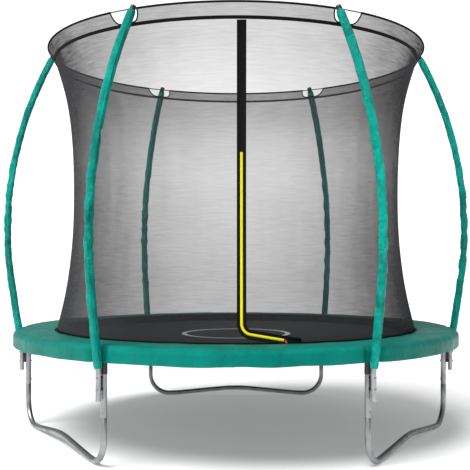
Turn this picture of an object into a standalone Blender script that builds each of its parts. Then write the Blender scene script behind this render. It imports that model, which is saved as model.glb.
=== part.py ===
"""Backyard trampoline with a safety enclosure, modelled in metres, +Z up.

The origin is on the floor under the centre of the mat. The door faces -Y. An azimuth is measured
about +Z from the door: a point at azimuth a and radius r is at (r sin a, -r cos a).
"""
import math

import bmesh
import bpy
import numpy as np
from mathutils import Matrix, Vector

# ---------------------------------------------------------------- driving sizes, in metres
GAP = 0.0003                # left between two pieces that touch
SIDES = 8                   # flats on each round tube
BOLT_SIDES = 6
RING_SIDES = 36             # facets of the net and of the ring rod round the axis

FRAME_RADIUS = 1.200        # centre line of the top rail and of the legs
FRAME_HEIGHT = 0.525        # centre line of the top rail, and the plane of the mat
RAIL_OD = 0.038
LEG_OD = 0.030
POLE_OD = 0.025
TUBE_WALL = 0.0015
FIT = 0.0004                # play between a tube and what slides into it
SPIGOT_LENGTH = 0.060       # swaged end that goes into the next tube
SWAGE_STEP = 0.003          # length over which a tube narrows to its swaged end

RAIL_JOINT = math.radians(6.0)      # a rail joint lies this far past each leg
RAIL_CHORDS = 6                     # straight facets along one rail
SOCKET_LENGTH = 0.072               # welded leg socket, from under the rail
POST_LENGTH = 0.290                 # from the rail down to where a post stands on its base
POST_TO_RAIL = 0.006                # left between a post's top and the rail above it
LEG_BEND = 0.130                    # bend radius of the leg base
FOOT_FLAT = 0.040                   # straight stretch that stands on the floor
BASE_RISE = 0.036                   # how far the middle of the base is off the floor
BASE_CROWN = 0.060                  # half length of the base's highest stretch

POLE_BELOW_RAIL = 0.210             # a pole's foot under the rail's centre line
POLE_KNEE_BELOW_RAIL = 0.073        # the pole leans out above this
POLE_LEAN_OUT = math.radians(9.0)
POLE_ARC_RISE = 0.275               # the long inward arc starts this far above the rail
POLE_JOINT_RISE = 0.595             # lower and upper pole meet here, inside the sleeve
POLE_TOP_SHIFT = {"front": 0.0555, "side": 0.0, "back": 0.02405}   # along the ring
CLAMP_BELOW_SOCKET = 0.014          # upper bolt that holds a pole to its leg, under the socket
CLAMP_PITCH = 0.052                 # and the lower bolt below the upper one
BOLT_DIAMETER = 0.006
BOLT_HEAD = 0.0108                  # across the head's corners
BOLT_HEAD_HEIGHT = 0.0045
SPACER_WIDTH = 0.008
SPACER_DISC = 0.018

RING_INSET = 0.140                  # fibreglass ring that holds the net up, inside the frame
RING_HEIGHT = 2.122
RING_ROD = 0.006
SLEEVE_SLACK = 0.0028               # foam tube's bore over the pole, on the radius
SLEEVE_WALL = 0.0062
SLEEVE_FOOT_RISE = 0.014            # above the pole's knee
SKIRT_ROOM = 0.005                  # between the rail and a sleeve, for the pad's skirt
CAP_WALL = 0.0006
CAP_SKIRT = 0.012                   # how far a cap goes down over the pole
CAP_HEAD = 0.017                    # how far it stands above the ring rod
CAP_EDGE = 0.003

NET_TO_PAD = 0.0095                 # between the net's foot and the pad's inner edge
NET_FOOT_RISE = 0.0055              # the net stands straight up to this far above the foam
NET_WAIST_INSET = 0.0915            # how far the waist draws in from the foot
NET_WAIST_RISE = 0.755              # waist above the mat
NET_TOP_INSET = 0.037               # the strap inside the ring
NET_TOP_DROP = 0.064                # and below it
NET_THICKNESS = 0.002
STRAP_HEIGHT = 0.015
STRAP_THICKNESS = 0.0015
STRAP_CLEAR = 0.0012                # between the strap and the net behind it
NOTCH_TOP = 0.078                   # half width of a pole cut-out at the ring
NOTCH_FOOT = 0.046                  # and at the strap
NOTCH_BEND = 0.45                   # share of the band's height where its edge bends

SPRING_SPAN = 0.146                 # from the mat's webbing to the inside of the rail
MAT_THICKNESS = 0.0025
MAT_EDGE_WIDTH = 0.035              # doubled webbing round the sheet
MAT_EDGE_THICKNESS = 0.006
SPRING_COUNT = 48
SPRING_BAR = 0.012
VRING_LENGTH = 0.024
VRING_WIRE = 0.003
VRING_HALF = 0.021                  # half width of a ring in the webbing

PAD_OVER_WEBBING = 0.013
PAD_OVER_RAIL = 0.0285
PAD_FOAM = 0.022
PAD_CROWN = 0.003                   # the foam is this much thicker in the middle
PAD_SHOULDER = 0.020                # rounding where the top turns down into the skirt
PAD_LIFT = 0.0025                   # underside of the foam above the rail
PAD_SKIRT_DROP = 0.0595             # from the foam's underside to the hem
PAD_SKIRT = 0.003
PAD_DENT_MARGIN = 0.011             # a pole presses the skirt in this far each side of its sleeve

DOOR_X = 0.026                      # upright run of the zip, right of the centre
DOOR_STRIP_WIDTH = 0.044
DOOR_STRIP_THICKNESS = 0.0012
DOOR_STRIP_CLEAR = 0.0009           # between the strip and the net behind it
DOOR_STRIP_DROP = 0.003             # the strip's top below the strap
ZIP_WIDTH = 0.013
ZIP_THICKNESS = 0.002
ZIP_HEIGHT = 0.876                  # top of the upright run above the slider
ZIP_CORNER = 0.050                  # corner radius between the two runs
ZIP_SLOPE = math.radians(10.0)      # the lower run falls to the right
SLIDER_AZIMUTH = math.radians(12.9)
SLIDER_RISE = 0.007                 # above the net's straight foot
SLIDER_SIZE = (0.012, 0.014, 0.005)     # across, along the zip, off the net
SLIDER_CLEAR = 0.0008
DOOR_TAIL_AZIMUTH = math.radians(17.2)
TAB_LENGTH = 0.020
TAB_WIDTH = 0.006
TAB_THICKNESS = 0.0015
TAB_CLEAR = 0.0012
TAB_DROOP = math.radians(38.0)

# ---------------------------------------------------------------- sizes that follow
LEGS = {"front_right": 30.0, "right": 90.0, "back_right": 150.0,
        "back_left": 210.0, "left": 270.0, "front_left": 330.0}
BASES = {"right": 30.0, "back": 150.0, "left": 270.0}
FLAT = math.cos(math.pi / SIDES)    # flat-to-centre distance of a round tube, over its radius
RAIL_TOP = FRAME_HEIGHT + RAIL_OD / 2
SOCKET_FOOT = FRAME_HEIGHT - RAIL_OD / 2 - SOCKET_LENGTH
LEG_JOINT_HEIGHT = FRAME_HEIGHT - POST_LENGTH
CLAMP_HEIGHTS = (SOCKET_FOOT - CLAMP_BELOW_SOCKET - CLAMP_PITCH, SOCKET_FOOT - CLAMP_BELOW_SOCKET)

MAT_RADIUS = FRAME_RADIUS - RAIL_OD / 2 - SPRING_SPAN - MAT_EDGE_WIDTH
PAD_INNER_RADIUS = MAT_RADIUS + MAT_EDGE_WIDTH - PAD_OVER_WEBBING
PAD_OUTER_RADIUS = FRAME_RADIUS + RAIL_OD / 2 + PAD_OVER_RAIL
PAD_UNDERSIDE = RAIL_TOP + PAD_LIFT
PAD_HEM = PAD_UNDERSIDE - PAD_SKIRT_DROP

SLEEVE_OD = POLE_OD + 2 * (SLEEVE_SLACK + SLEEVE_WALL)
POLE_FOOT_HEIGHT = FRAME_HEIGHT - POLE_BELOW_RAIL
POLE_KNEE_HEIGHT = FRAME_HEIGHT - POLE_KNEE_BELOW_RAIL
POLE_ARC_HEIGHT = FRAME_HEIGHT + POLE_ARC_RISE
POLE_JOINT_HEIGHT = FRAME_HEIGHT + POLE_JOINT_RISE
SLEEVE_FOOT_HEIGHT = POLE_KNEE_HEIGHT + SLEEVE_FOOT_RISE
POLE_RADIUS_AT_HEM = FRAME_RADIUS + RAIL_OD / 2 + SKIRT_ROOM + SLEEVE_OD / 2
POLE_FOOT_RADIUS = POLE_RADIUS_AT_HEM - (PAD_HEM - POLE_KNEE_HEIGHT) * math.tan(POLE_LEAN_OUT)
PAD_DENT_HALF = (SLEEVE_OD / 2 + PAD_DENT_MARGIN) / POLE_RADIUS_AT_HEM

RING_RADIUS = FRAME_RADIUS - RING_INSET
POLE_TOP_LEAN = {place: shift / RING_RADIUS for place, shift in POLE_TOP_SHIFT.items()}
NET_FOOT_RADIUS = PAD_INNER_RADIUS - NET_TO_PAD
NET_KNEE_HEIGHT = PAD_UNDERSIDE + PAD_FOAM + NET_FOOT_RISE
NET_WAIST_RADIUS = NET_FOOT_RADIUS - NET_WAIST_INSET
NET_WAIST_HEIGHT = FRAME_HEIGHT + NET_WAIST_RISE
NET_TOP_RADIUS = RING_RADIUS - NET_TOP_INSET
NET_TOP_HEIGHT = RING_HEIGHT - NET_TOP_DROP
SLIDER_HEIGHT = NET_KNEE_HEIGHT + SLIDER_RISE
ZIP_TOP_HEIGHT = SLIDER_HEIGHT + ZIP_HEIGHT
STEEL, POLE_STEEL, BLACK, SLEEVE, MESH, WEBBING, SHEET, SPRING, VINYL, ROD, YELLOW, RED = (
    "galvanised_steel", "pole_steel", "black_plastic", "sleeve_vinyl", "net_mesh", "webbing",
    "mat_weave", "spring_steel", "pad_vinyl", "fibreglass", "zip_tape", "red_pull")
COLOURS = {     # base colour, roughness, metallic
    STEEL: ((0.55, 0.56, 0.57), 0.38, 0.9),
    POLE_STEEL: ((0.58, 0.59, 0.60), 0.40, 0.9),
    BLACK: ((0.02, 0.02, 0.02), 0.50, 0.0),
    SLEEVE: ((0.0, 0.36, 0.28), 0.42, 0.0),
    MESH: ((0.06, 0.06, 0.065), 0.85, 0.0),
    WEBBING: ((0.015, 0.015, 0.017), 0.80, 0.0),
    SHEET: ((0.035, 0.036, 0.038), 0.75, 0.0),
    SPRING: ((0.62, 0.62, 0.62), 0.30, 1.0),
    VINYL: ((0.0, 0.30, 0.24), 0.28, 0.0),
    ROD: ((0.02, 0.02, 0.022), 0.35, 0.0),
    YELLOW: ((0.80, 0.72, 0.02), 0.60, 0.0),
    RED: ((0.65, 0.02, 0.02), 0.40, 0.0),
}


# ---------------------------------------------------------------- helpers
def at(azimuth, radius, height):
    """Point at an azimuth and radius about the trampoline's axis."""
    return Vector((radius * math.sin(azimuth), -radius * math.cos(azimuth), height))


def outward(azimuth):
    """Unit vector that points away from the axis."""
    return Vector((math.sin(azimuth), -math.cos(azimuth), 0.0))


def around(azimuth):
    """Unit vector along the circle, the way azimuth grows."""
    return Vector((math.cos(azimuth), math.sin(azimuth), 0.0))


def make_material(name):
    """One Principled material from the colour table."""
    colour, roughness, metallic = COLOURS[name]
    material = bpy.data.materials.new(name)
    material.use_nodes = True
    shader = material.node_tree.nodes["Principled BSDF"]
    shader.inputs["Base Color"].default_value = (*colour, 1.0)
    shader.inputs["Roughness"].default_value = roughness
    shader.inputs["Metallic"].default_value = metallic
    return material


def new_mesh(bm, name):
    """Turn a bmesh into a shaded mesh, faces outward."""
    bmesh.ops.recalc_face_normals(bm, faces=bm.faces)
    mesh = bpy.data.meshes.new(name)
    bm.to_mesh(mesh)
    bm.free()
    mesh.shade_smooth()
    mesh.set_sharp_from_angle(angle=math.radians(50.0))
    return mesh


def add_node(name, mesh, slot, azimuth=0.0):
    """One named object in the scene, turned about the trampoline's axis."""
    if slot not in bpy.data.materials:
        make_material(slot)
    if not mesh.materials:
        mesh.materials.append(bpy.data.materials[slot])
    node = bpy.data.objects.new(name, mesh)
    node.rotation_euler.z = azimuth
    bpy.context.collection.objects.link(node)
    return node


def skin(rings, closed=False):
    """Body through equal rings of points: its ends meet, or each gets a cap."""
    bm = bmesh.new()
    loops = [[bm.verts.new(point) for point in ring] for ring in rings]
    pairs = list(zip(loops, loops[1:]))
    if closed:
        pairs.append((loops[-1], loops[0]))
    else:
        bm.faces.new(loops[0])
        bm.faces.new(loops[-1])
    for first, second in pairs:
        for i, corner in enumerate(first):
            j = (i + 1) % len(first)
            bm.faces.new((corner, first[j], second[j], second[i]))
    return bm


def frames(points, side):
    """Centre and two cross directions at each point of a path that bends square to side."""
    result = []
    for i, point in enumerate(points):
        before = points[max(i, 1)] - points[max(i, 1) - 1]
        after = points[min(i + 1, len(points) - 1)] - points[min(i, len(points) - 2)]
        along = (before.normalized() + after.normalized()).normalized()
        across = (side - along * side.dot(along)).normalized()
        # a mitre is wider across the bend, so the straight runs keep their flats
        mitre = along.dot(before.normalized())
        result.append((point, across, along.cross(across) / mitre))
    return result


def section(frame, radius, sides=SIDES):
    """Ring of points about a path, with a flat facing each cross direction."""
    centre, across, other = frame
    turns = [(i + 0.5) * math.tau / sides for i in range(sides)]
    return [centre + (across * math.cos(t) + other * math.sin(t)) * radius for t in turns]


def tube(stations, outer, inner, sides=SIDES):
    """Open-ended tube: outer and inner are lists of (station number, radius)."""
    rings = [section(stations[i], radius, sides) for i, radius in outer]
    rings += [section(stations[i], radius, sides) for i, radius in reversed(inner)]
    return skin(rings, closed=True)


def plain_tube(stations, radius, bore, sides=SIDES):
    """Tube of one outer radius and one bore along its whole path."""
    numbers = range(len(stations))
    return tube(stations, [(i, radius) for i in numbers], [(i, bore) for i in numbers], sides)


def turned(start, along, side, profile, sides=SIDES):
    """Solid turned about an axis: profile is a list of (distance along, radius)."""
    other = along.cross(side)
    return skin([section((start + along * d, side, other), r, sides) for d, r in profile])


def combine(mesh, cutters, operation):
    """Boolean a mesh with each cutter bmesh in turn, and return the result."""
    for cutter in cutters:
        work = bpy.data.objects.new("work", mesh)
        tool = bpy.data.objects.new("tool", new_mesh(cutter, "tool"))
        bpy.context.collection.objects.link(work)
        bpy.context.collection.objects.link(tool)
        modifier = work.modifiers.new("cut", "BOOLEAN")
        modifier.operation = operation
        modifier.solver = "EXACT"
        modifier.object = tool
        graph = bpy.context.evaluated_depsgraph_get()
        mesh = bpy.data.meshes.new_from_object(work.evaluated_get(graph))
        bpy.data.objects.remove(work)
        bpy.data.objects.remove(tool)
    mesh.materials.clear()
    return mesh


# ---------------------------------------------------------------- steel frame
def make_rails():
    """Six rails that plug into each other, each with a leg socket welded under it."""
    pitch = math.tau / len(LEGS)
    chord = pitch / RAIL_CHORDS
    shoulder = RAIL_JOINT + pitch
    turns = [RAIL_JOINT + chord * i for i in range(RAIL_CHORDS)]
    turns[0] += GAP / FRAME_RADIUS
    turns += [shoulder - SWAGE_STEP / FRAME_RADIUS, shoulder]
    stations = [(at(t, FRAME_RADIUS, FRAME_HEIGHT), Vector((0, 0, 1)), outward(t)) for t in turns]
    # the swaged end runs straight into the first chord of the next rail
    start, up, side = stations[-1]
    ahead = (at(shoulder + chord, FRAME_RADIUS, FRAME_HEIGHT) - start).normalized()
    stations.append((start + ahead * SPIGOT_LENGTH, up, side))
    radius = RAIL_OD / 2
    bore = radius - TUBE_WALL
    spigot = bore - FIT
    last = len(stations) - 1
    outer = [(i, radius) for i in range(last)] + [(last - 1, spigot), (last, spigot)]
    inner = [(i, bore) for i in range(last - 1)]
    inner += [(last - 2, spigot - TUBE_WALL), (last, spigot - TUBE_WALL)]
    rail = new_mesh(tube(stations, outer, inner), "rail")
    socket_bore = LEG_OD / 2 + FIT
    centre = at(pitch, FRAME_RADIUS, 0)
    ends = (FRAME_HEIGHT, SOCKET_FOOT)
    path = frames([centre + Vector((0, 0, z)) for z in ends], outward(pitch))
    socket = new_mesh(plain_tube(path, socket_bore + TUBE_WALL, socket_bore), "socket")
    # the socket's top is cut to the rail's round underside, then welded to it
    cope = skin([section(s, radius - TUBE_WALL / 2) for s in stations[:last]])
    socket = combine(socket, [cope], "DIFFERENCE")
    weld = bmesh.new()
    weld.from_mesh(socket)
    rail = combine(rail, [weld], "UNION")
    for name, degrees in LEGS.items():
        add_node(f"frame_rail_{name}", rail, STEEL, math.radians(degrees) - pitch)


def bolt_hole(radius_from, radius_to, height):
    """Cutter for a clamp bolt, along the radius at azimuth 0."""
    hole = BOLT_DIAMETER / 2 + FIT
    length = radius_to - radius_from
    profile = [(0, hole), (length, hole)]
    return turned(at(0, radius_from, height), outward(0), around(0), profile, BOLT_SIDES)


def make_leg_posts():
    """Six straight posts from the leg bases up into the rail sockets."""
    top = FRAME_HEIGHT - RAIL_OD / 2 - POST_TO_RAIL
    path = [at(0, FRAME_RADIUS, z) for z in (LEG_JOINT_HEIGHT + GAP, top)]
    post = plain_tube(frames(path, outward(0)), LEG_OD / 2, LEG_OD / 2 - TUBE_WALL)
    holes = [bolt_hole(FRAME_RADIUS - LEG_OD, FRAME_RADIUS + LEG_OD, z) for z in CLAMP_HEIGHTS]
    post = combine(new_mesh(post, "leg_post"), holes, "DIFFERENCE")
    for name, degrees in LEGS.items():
        add_node(f"leg_post_{name}", post, STEEL, math.radians(degrees))


def base_outline():
    """Half of a leg base in its own plane, as (distance along the chord, height)."""
    low = LEG_OD / 2 * FLAT
    bend = [math.pi + i * math.pi / 8 for i in range(5)]
    points = [(0.0, LEG_JOINT_HEIGHT + SPIGOT_LENGTH), (0.0, LEG_JOINT_HEIGHT),
              (0.0, LEG_JOINT_HEIGHT - SWAGE_STEP)]
    points += [(LEG_BEND * (1 + math.cos(t)), low + LEG_BEND * (1 + math.sin(t))) for t in bend]
    points.append((LEG_BEND + FOOT_FLAT, low))
    middle = FRAME_RADIUS * math.sin(math.pi / len(LEGS))
    points.append((middle - BASE_CROWN, low + 0.9 * BASE_RISE))
    points.append((middle, low + BASE_RISE))
    return points


def make_leg_bases():
    """Three bent tubes, each joining two neighbouring legs along the floor."""
    half = base_outline()
    middle = half[-1][0]
    outline = half + [(2 * middle - u, z) for u, z in reversed(half[:-1])]
    pitch = math.tau / len(LEGS)
    start = at(0, FRAME_RADIUS, 0)
    chord = (at(pitch, FRAME_RADIUS, 0) - start).normalized()
    points = [start + chord * u + Vector((0, 0, z)) for u, z in outline]
    stations = frames(points, chord.cross(Vector((0, 0, 1))))
    radius = LEG_OD / 2
    bore = radius - TUBE_WALL
    # the base's flats are turned against the post's, so its corners must clear the post's flats
    spigot = bore * FLAT - FIT
    last = len(points) - 1
    outer = [(0, spigot), (1, spigot)] + [(i, radius) for i in range(1, last)]
    outer += [(last - 1, spigot), (last, spigot)]
    thin = spigot - TUBE_WALL
    inner = [(0, thin), (2, thin)] + [(i, bore) for i in range(2, last - 1)]
    inner += [(last - 2, thin), (last, thin)]
    base = new_mesh(tube(stations, outer, inner), "leg_base")
    for name, degrees in BASES.items():
        add_node(f"leg_base_{name}", base, STEEL, math.radians(degrees))


# ---------------------------------------------------------------- enclosure poles
def pole_lean(name):
    """Sideways lean of a pole's top towards the door's centre plane, as a change of azimuth."""
    kind = name.split("_")[0]
    lean = POLE_TOP_LEAN.get(kind, POLE_TOP_LEAN["side"])
    toward = {"front_right": -1, "back_right": 1, "back_left": -1, "front_left": 1}
    return lean * toward.get(name, 0)


def pole_arc():
    """Centre, radius and end angles of the arc from the straight run to the ring."""
    start_r = POLE_FOOT_RADIUS + (POLE_ARC_HEIGHT - POLE_KNEE_HEIGHT) * math.tan(POLE_LEAN_OUT)
    rise = RING_HEIGHT - POLE_ARC_HEIGHT
    turn = 2.0 * math.atan((start_r - RING_RADIUS) / rise)
    end = POLE_LEAN_OUT + turn
    radius = rise / (math.sin(POLE_LEAN_OUT) + math.sin(end))
    centre_r = start_r - radius * math.cos(POLE_LEAN_OUT)
    centre_z = POLE_ARC_HEIGHT + radius * math.sin(POLE_LEAN_OUT)
    return centre_r, centre_z, radius, end


def pole_radius(height):
    """Distance of the pole's centre line from the trampoline's axis at a height."""
    if height <= POLE_KNEE_HEIGHT:
        return POLE_FOOT_RADIUS
    if height <= POLE_ARC_HEIGHT:
        return POLE_FOOT_RADIUS + (height - POLE_KNEE_HEIGHT) * math.tan(POLE_LEAN_OUT)
    centre_r, centre_z, radius, _ = pole_arc()
    return centre_r + math.sqrt(radius ** 2 - (height - centre_z) ** 2)


def pole_point(name, height):
    """Point on a pole's centre line."""
    rise = (height - POLE_KNEE_HEIGHT) / (RING_HEIGHT - POLE_KNEE_HEIGHT)
    lean = pole_lean(name) * max(rise, 0.0) ** 2
    return at(math.radians(LEGS[name]) + lean, pole_radius(height), height)


def pole_stations(name, heights):
    """Path stations of a pole through a list of heights."""
    side = around(math.radians(LEGS[name]))
    return frames([pole_point(name, z) for z in heights], side)


def pole_end(name):
    """Point where the ring rod crosses a pole, and the pole's direction there."""
    top = pole_point(name, RING_HEIGHT)
    return top, (top - pole_point(name, RING_HEIGHT - 0.01)).normalized()


def make_poles():
    """Lower and upper tube of each pole: the upper one's swaged end sits in the lower one."""
    radius = POLE_OD / 2
    bore = radius - TUBE_WALL
    spigot = bore - FIT
    clear = RING_ROD / 2 + 3 * FIT
    low = [POLE_FOOT_HEIGHT, POLE_KNEE_HEIGHT - 0.01, POLE_KNEE_HEIGHT + 0.01,
           POLE_ARC_HEIGHT, (POLE_ARC_HEIGHT + POLE_JOINT_HEIGHT) / 2,
           POLE_JOINT_HEIGHT - SPIGOT_LENGTH - 0.01, POLE_JOINT_HEIGHT]
    for name, degrees in LEGS.items():
        azimuth = math.radians(degrees)
        body = new_mesh(plain_tube(pole_stations(name, low), radius, bore), f"lower_{name}")
        holes = []
        for z in CLAMP_HEIGHTS:
            hole = bolt_hole(POLE_FOOT_RADIUS - POLE_OD, POLE_FOOT_RADIUS + POLE_OD, z)
            bmesh.ops.rotate(hole, verts=hole.verts, matrix=Matrix.Rotation(azimuth, 3, "Z"))
            holes.append(hole)
        add_node(f"pole_lower_{name}", combine(body, holes, "DIFFERENCE"), POLE_STEEL)
        _, along = pole_end(name)
        top = RING_HEIGHT - clear * along.z - 0.002
        foot = POLE_JOINT_HEIGHT + GAP
        curve = [foot + (top - foot) * i / 6 for i in range(7)]
        heights = [foot - SPIGOT_LENGTH, foot, foot + SWAGE_STEP] + curve[1:]
        stations = pole_stations(name, heights)
        last = len(heights) - 1
        outer = [(0, spigot), (1, spigot)] + [(i, radius) for i in range(1, last + 1)]
        thin = spigot - TUBE_WALL
        inner = [(0, thin), (2, thin)] + [(i, bore) for i in range(2, last + 1)]
        upper = new_mesh(tube(stations, outer, inner), f"upper_{name}")
        add_node(f"pole_upper_{name}", upper, POLE_STEEL)


def ring_body(radius):
    """The ring rod's path with a given thickness, for the rod and for the holes it goes through."""
    turns = [i * math.tau / RING_SIDES for i in range(RING_SIDES)]
    stations = [(at(t, RING_RADIUS, RING_HEIGHT), Vector((0, 0, 1)), outward(t)) for t in turns]
    return skin([section(s, radius, 6) for s in stations], closed=True)


def make_caps():
    """Plug over each pole's end, with a cross hole for the ring rod."""
    socket = POLE_OD / 2 + 2 * FIT + GAP     # the tube curves a little inside the cap
    radius = socket + CAP_WALL
    seat = RING_ROD / 2 + 2 * FIT
    for name in LEGS:
        crossing, along = pole_end(name)
        side = around(math.atan2(crossing.x, -crossing.y))
        side = (side - along * side.dot(along)).normalized()
        profile = [(-CAP_SKIRT, radius), (CAP_HEAD - CAP_EDGE, radius), (CAP_HEAD, radius - CAP_EDGE)]
        cap = new_mesh(turned(crossing, along, side, profile), f"cap_{name}")
        bore = turned(crossing, along, side, [(-2 * CAP_SKIRT, socket), (-seat, socket)])
        rod = ring_body(RING_ROD / 2 + FIT)
        add_node(f"pole_cap_{name}", combine(cap, [bore, rod], "DIFFERENCE"), BLACK)


def make_sleeves():
    """Foam tube in a vinyl cover round each pole."""
    for name in LEGS:
        crossing, along = pole_end(name)
        top = RING_HEIGHT - (CAP_SKIRT + 2 * FIT) * along.z
        first = SLEEVE_FOOT_HEIGHT
        heights = [first, POLE_ARC_HEIGHT]
        heights += [POLE_ARC_HEIGHT + (top - POLE_ARC_HEIGHT) * i / 8 for i in range(1, 9)]
        stations = pole_stations(name, heights)
        sleeve = plain_tube(stations, SLEEVE_OD / 2, POLE_OD / 2 + SLEEVE_SLACK)
        add_node(f"pole_sleeve_{name}", new_mesh(sleeve, f"sleeve_{name}"), SLEEVE)


def make_clamps():
    """Spacer between each pole and its leg, with the two bolts that go through both."""
    inner = FRAME_RADIUS + LEG_OD / 2 + GAP
    outer = POLE_FOOT_RADIUS - POLE_OD / 2 - GAP
    low, high = CLAMP_HEIGHTS
    middle = at(0, (inner + outer) / 2, (low + high) / 2)
    block = bmesh.new()
    bmesh.ops.create_cube(block, size=1.0)
    size = Vector((SPACER_WIDTH, outer - inner, high - low))
    bmesh.ops.scale(block, verts=block.verts, vec=size)
    bmesh.ops.translate(block, verts=block.verts, vec=middle)
    head = BOLT_HEAD / 2
    nut_face = FRAME_RADIUS - LEG_OD / 2 - GAP
    head_face = POLE_FOOT_RADIUS + POLE_OD / 2 + GAP
    shank = BOLT_DIAMETER / 2
    disc = SPACER_DISC / 2
    profile = [(nut_face - BOLT_HEAD_HEIGHT, head), (nut_face, head), (nut_face, shank),
               (inner, shank), (inner, disc), (outer, disc), (outer, shank), (head_face, shank),
               (head_face, head), (head_face + BOLT_HEAD_HEIGHT, head)]
    start_radius = profile[0][0]
    profile = [(d - start_radius, r) for d, r in profile]
    bolts = []
    for z in CLAMP_HEIGHTS:
        start = at(0, start_radius, z)
        bolts.append(turned(start, outward(0), around(0), profile, BOLT_SIDES))
    clamp = combine(new_mesh(block, "clamp"), bolts, "UNION")
    for name, degrees in LEGS.items():
        add_node(f"pole_clamp_{name}", clamp, BLACK, math.radians(degrees))


def make_ring():
    """Fibreglass ring through the pole caps."""
    add_node("top_ring", new_mesh(ring_body(RING_ROD / 2), "top_ring"), ROD)


# ---------------------------------------------------------------- net
def net_levels():
    """Heights of the net's faceted outline, foot to top."""
    foot = FRAME_HEIGHT + MAT_EDGE_THICKNESS / 2 + NET_THICKNESS
    lower = np.linspace(NET_KNEE_HEIGHT, NET_WAIST_HEIGHT, 5)
    upper = np.linspace(NET_WAIST_HEIGHT, NET_TOP_HEIGHT, 5)[1:]
    return [foot, *lower, *upper]


def net_curve(height):
    """Smooth hourglass: square law below the waist, steeper law above it."""
    if height <= NET_KNEE_HEIGHT:
        return NET_FOOT_RADIUS
    if height <= NET_WAIST_HEIGHT:
        t = (NET_WAIST_HEIGHT - height) / (NET_WAIST_HEIGHT - NET_KNEE_HEIGHT)
        return NET_WAIST_RADIUS + (NET_FOOT_RADIUS - NET_WAIST_RADIUS) * t ** 2.1
    t = (height - NET_WAIST_HEIGHT) / (NET_TOP_HEIGHT - NET_WAIST_HEIGHT)
    return NET_WAIST_RADIUS + (NET_TOP_RADIUS - NET_WAIST_RADIUS) * t ** 2.8


def net_radius(height):
    """Outer radius of the faceted net at a height."""
    levels = net_levels()
    return float(np.interp(height, levels, [net_curve(z) for z in levels]))


def lathe(profile, turns, slot, name):
    """Ring-shaped body: a closed (radius, height) outline carried round the axis."""
    rings = [[at(t, r, z) for r, z in profile] for t in turns]
    add_node(name, new_mesh(skin(rings, closed=True), name), slot)


def make_net():
    """Hourglass wall of the enclosure, from the mat's edge to the strap."""
    levels = net_levels()
    outer = [(net_radius(z), z) for z in levels]
    inner = [(r - NET_THICKNESS, z) for r, z in reversed(outer)]
    lathe(outer + inner, [i * math.tau / RING_SIDES for i in range(RING_SIDES)], MESH, "net_wall")


def make_net_top():
    """Mesh band from the strap out to the ring, cut away round each pole, and its strap."""
    foot = (NET_TOP_RADIUS + 0.0005, NET_TOP_HEIGHT + GAP)
    head = (RING_RADIUS - 0.001, RING_HEIGHT - RING_ROD / 2 - GAP)
    strap_top = NET_TOP_HEIGHT + STRAP_HEIGHT * 0.6
    wide = NOTCH_TOP / RING_RADIUS
    narrow = NOTCH_FOOT / RING_RADIUS
    low = (strap_top + NET_THICKNESS - foot[1]) / (head[1] - foot[1])
    bend = (wide + narrow) / 2
    marks = [(-wide, 1.0), (-bend, NOTCH_BEND), (-narrow, low), (0.0, low),
             (narrow, low), (bend, NOTCH_BEND), (wide, 1.0)]
    pitch = math.tau / len(LEGS)
    marks += [(wide + (pitch - 2 * wide) * i / 4, 1.0) for i in (1, 2, 3)]
    rings = []
    for degrees in LEGS.values():
        for offset, share in marks:
            t = math.radians(degrees) + offset
            r = foot[0] + (head[0] - foot[0]) * share
            z = foot[1] + (head[1] - foot[1]) * share
            thick = NET_THICKNESS
            rings.append([at(t, foot[0], foot[1]), at(t, r, z), at(t, r - thick, z),
                          at(t, foot[0] - thick, foot[1])])
    add_node("net_top_band", new_mesh(skin(rings, closed=True), "net_top_band"), MESH)
    slope = (head[0] - foot[0]) / (head[1] - foot[1])
    low_z = NET_TOP_HEIGHT - STRAP_HEIGHT * 0.4
    corners = [(net_radius(low_z), low_z), (foot[0] + slope * (strap_top - foot[1]), strap_top)]
    inner = [(r + STRAP_CLEAR, z) for r, z in corners]
    outer = [(r + STRAP_CLEAR + STRAP_THICKNESS, z) for r, z in reversed(corners)]
    count = 2 * RING_SIDES
    lathe(inner + outer, [i * math.tau / count for i in range(count)], WEBBING, "net_strap")


# ---------------------------------------------------------------- door
def on_net(x, z, off=0.0):
    """Point on the outside of the net, above x, and the net's outward direction there."""
    radius = net_radius(z)
    rise = 0.01
    slope = (net_radius(z + rise) - net_radius(z - rise)) / (2 * rise)
    azimuth = math.asin(x / radius)
    normal = (outward(azimuth) - Vector((0, 0, slope))).normalized()
    return at(azimuth, radius, z) + normal * off, normal


def lower_run_height(x):
    """Height of the zip's lower run above x: a straight line seen from the door."""
    slider_x = net_radius(SLIDER_HEIGHT) * math.sin(SLIDER_AZIMUTH)
    return SLIDER_HEIGHT + (slider_x - x) * math.tan(ZIP_SLOPE)


def door_route(top, tail_x):
    """Front view (x, z) points of the door: upright, round the corner, along the lower run."""
    sweep = math.pi / 2 - ZIP_SLOPE
    reach = ZIP_CORNER * math.tan(sweep / 2)
    corner_z = lower_run_height(DOOR_X)
    centre = (DOOR_X + ZIP_CORNER, corner_z + reach)
    turns = [math.pi + sweep * i / 5 for i in range(6)]
    bend = [(centre[0] + ZIP_CORNER * math.cos(t), centre[1] + ZIP_CORNER * math.sin(t))
            for t in turns]
    levels = [z for z in reversed(net_levels()) if bend[0][1] + 0.02 < z < top - 0.02]
    upright = [(DOOR_X, z) for z in [top, *levels]]
    chord = 0.95 * math.sqrt(8 * NET_FOOT_RADIUS * DOOR_STRIP_CLEAR)   # longer ones sag into the net
    steps = max(3, math.ceil((tail_x - bend[-1][0]) / chord))
    run = [bend[-1][0] + (tail_x - bend[-1][0]) * i / steps for i in range(1, steps + 1)]
    return upright + bend + [(x, lower_run_height(x)) for x in run]


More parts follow.
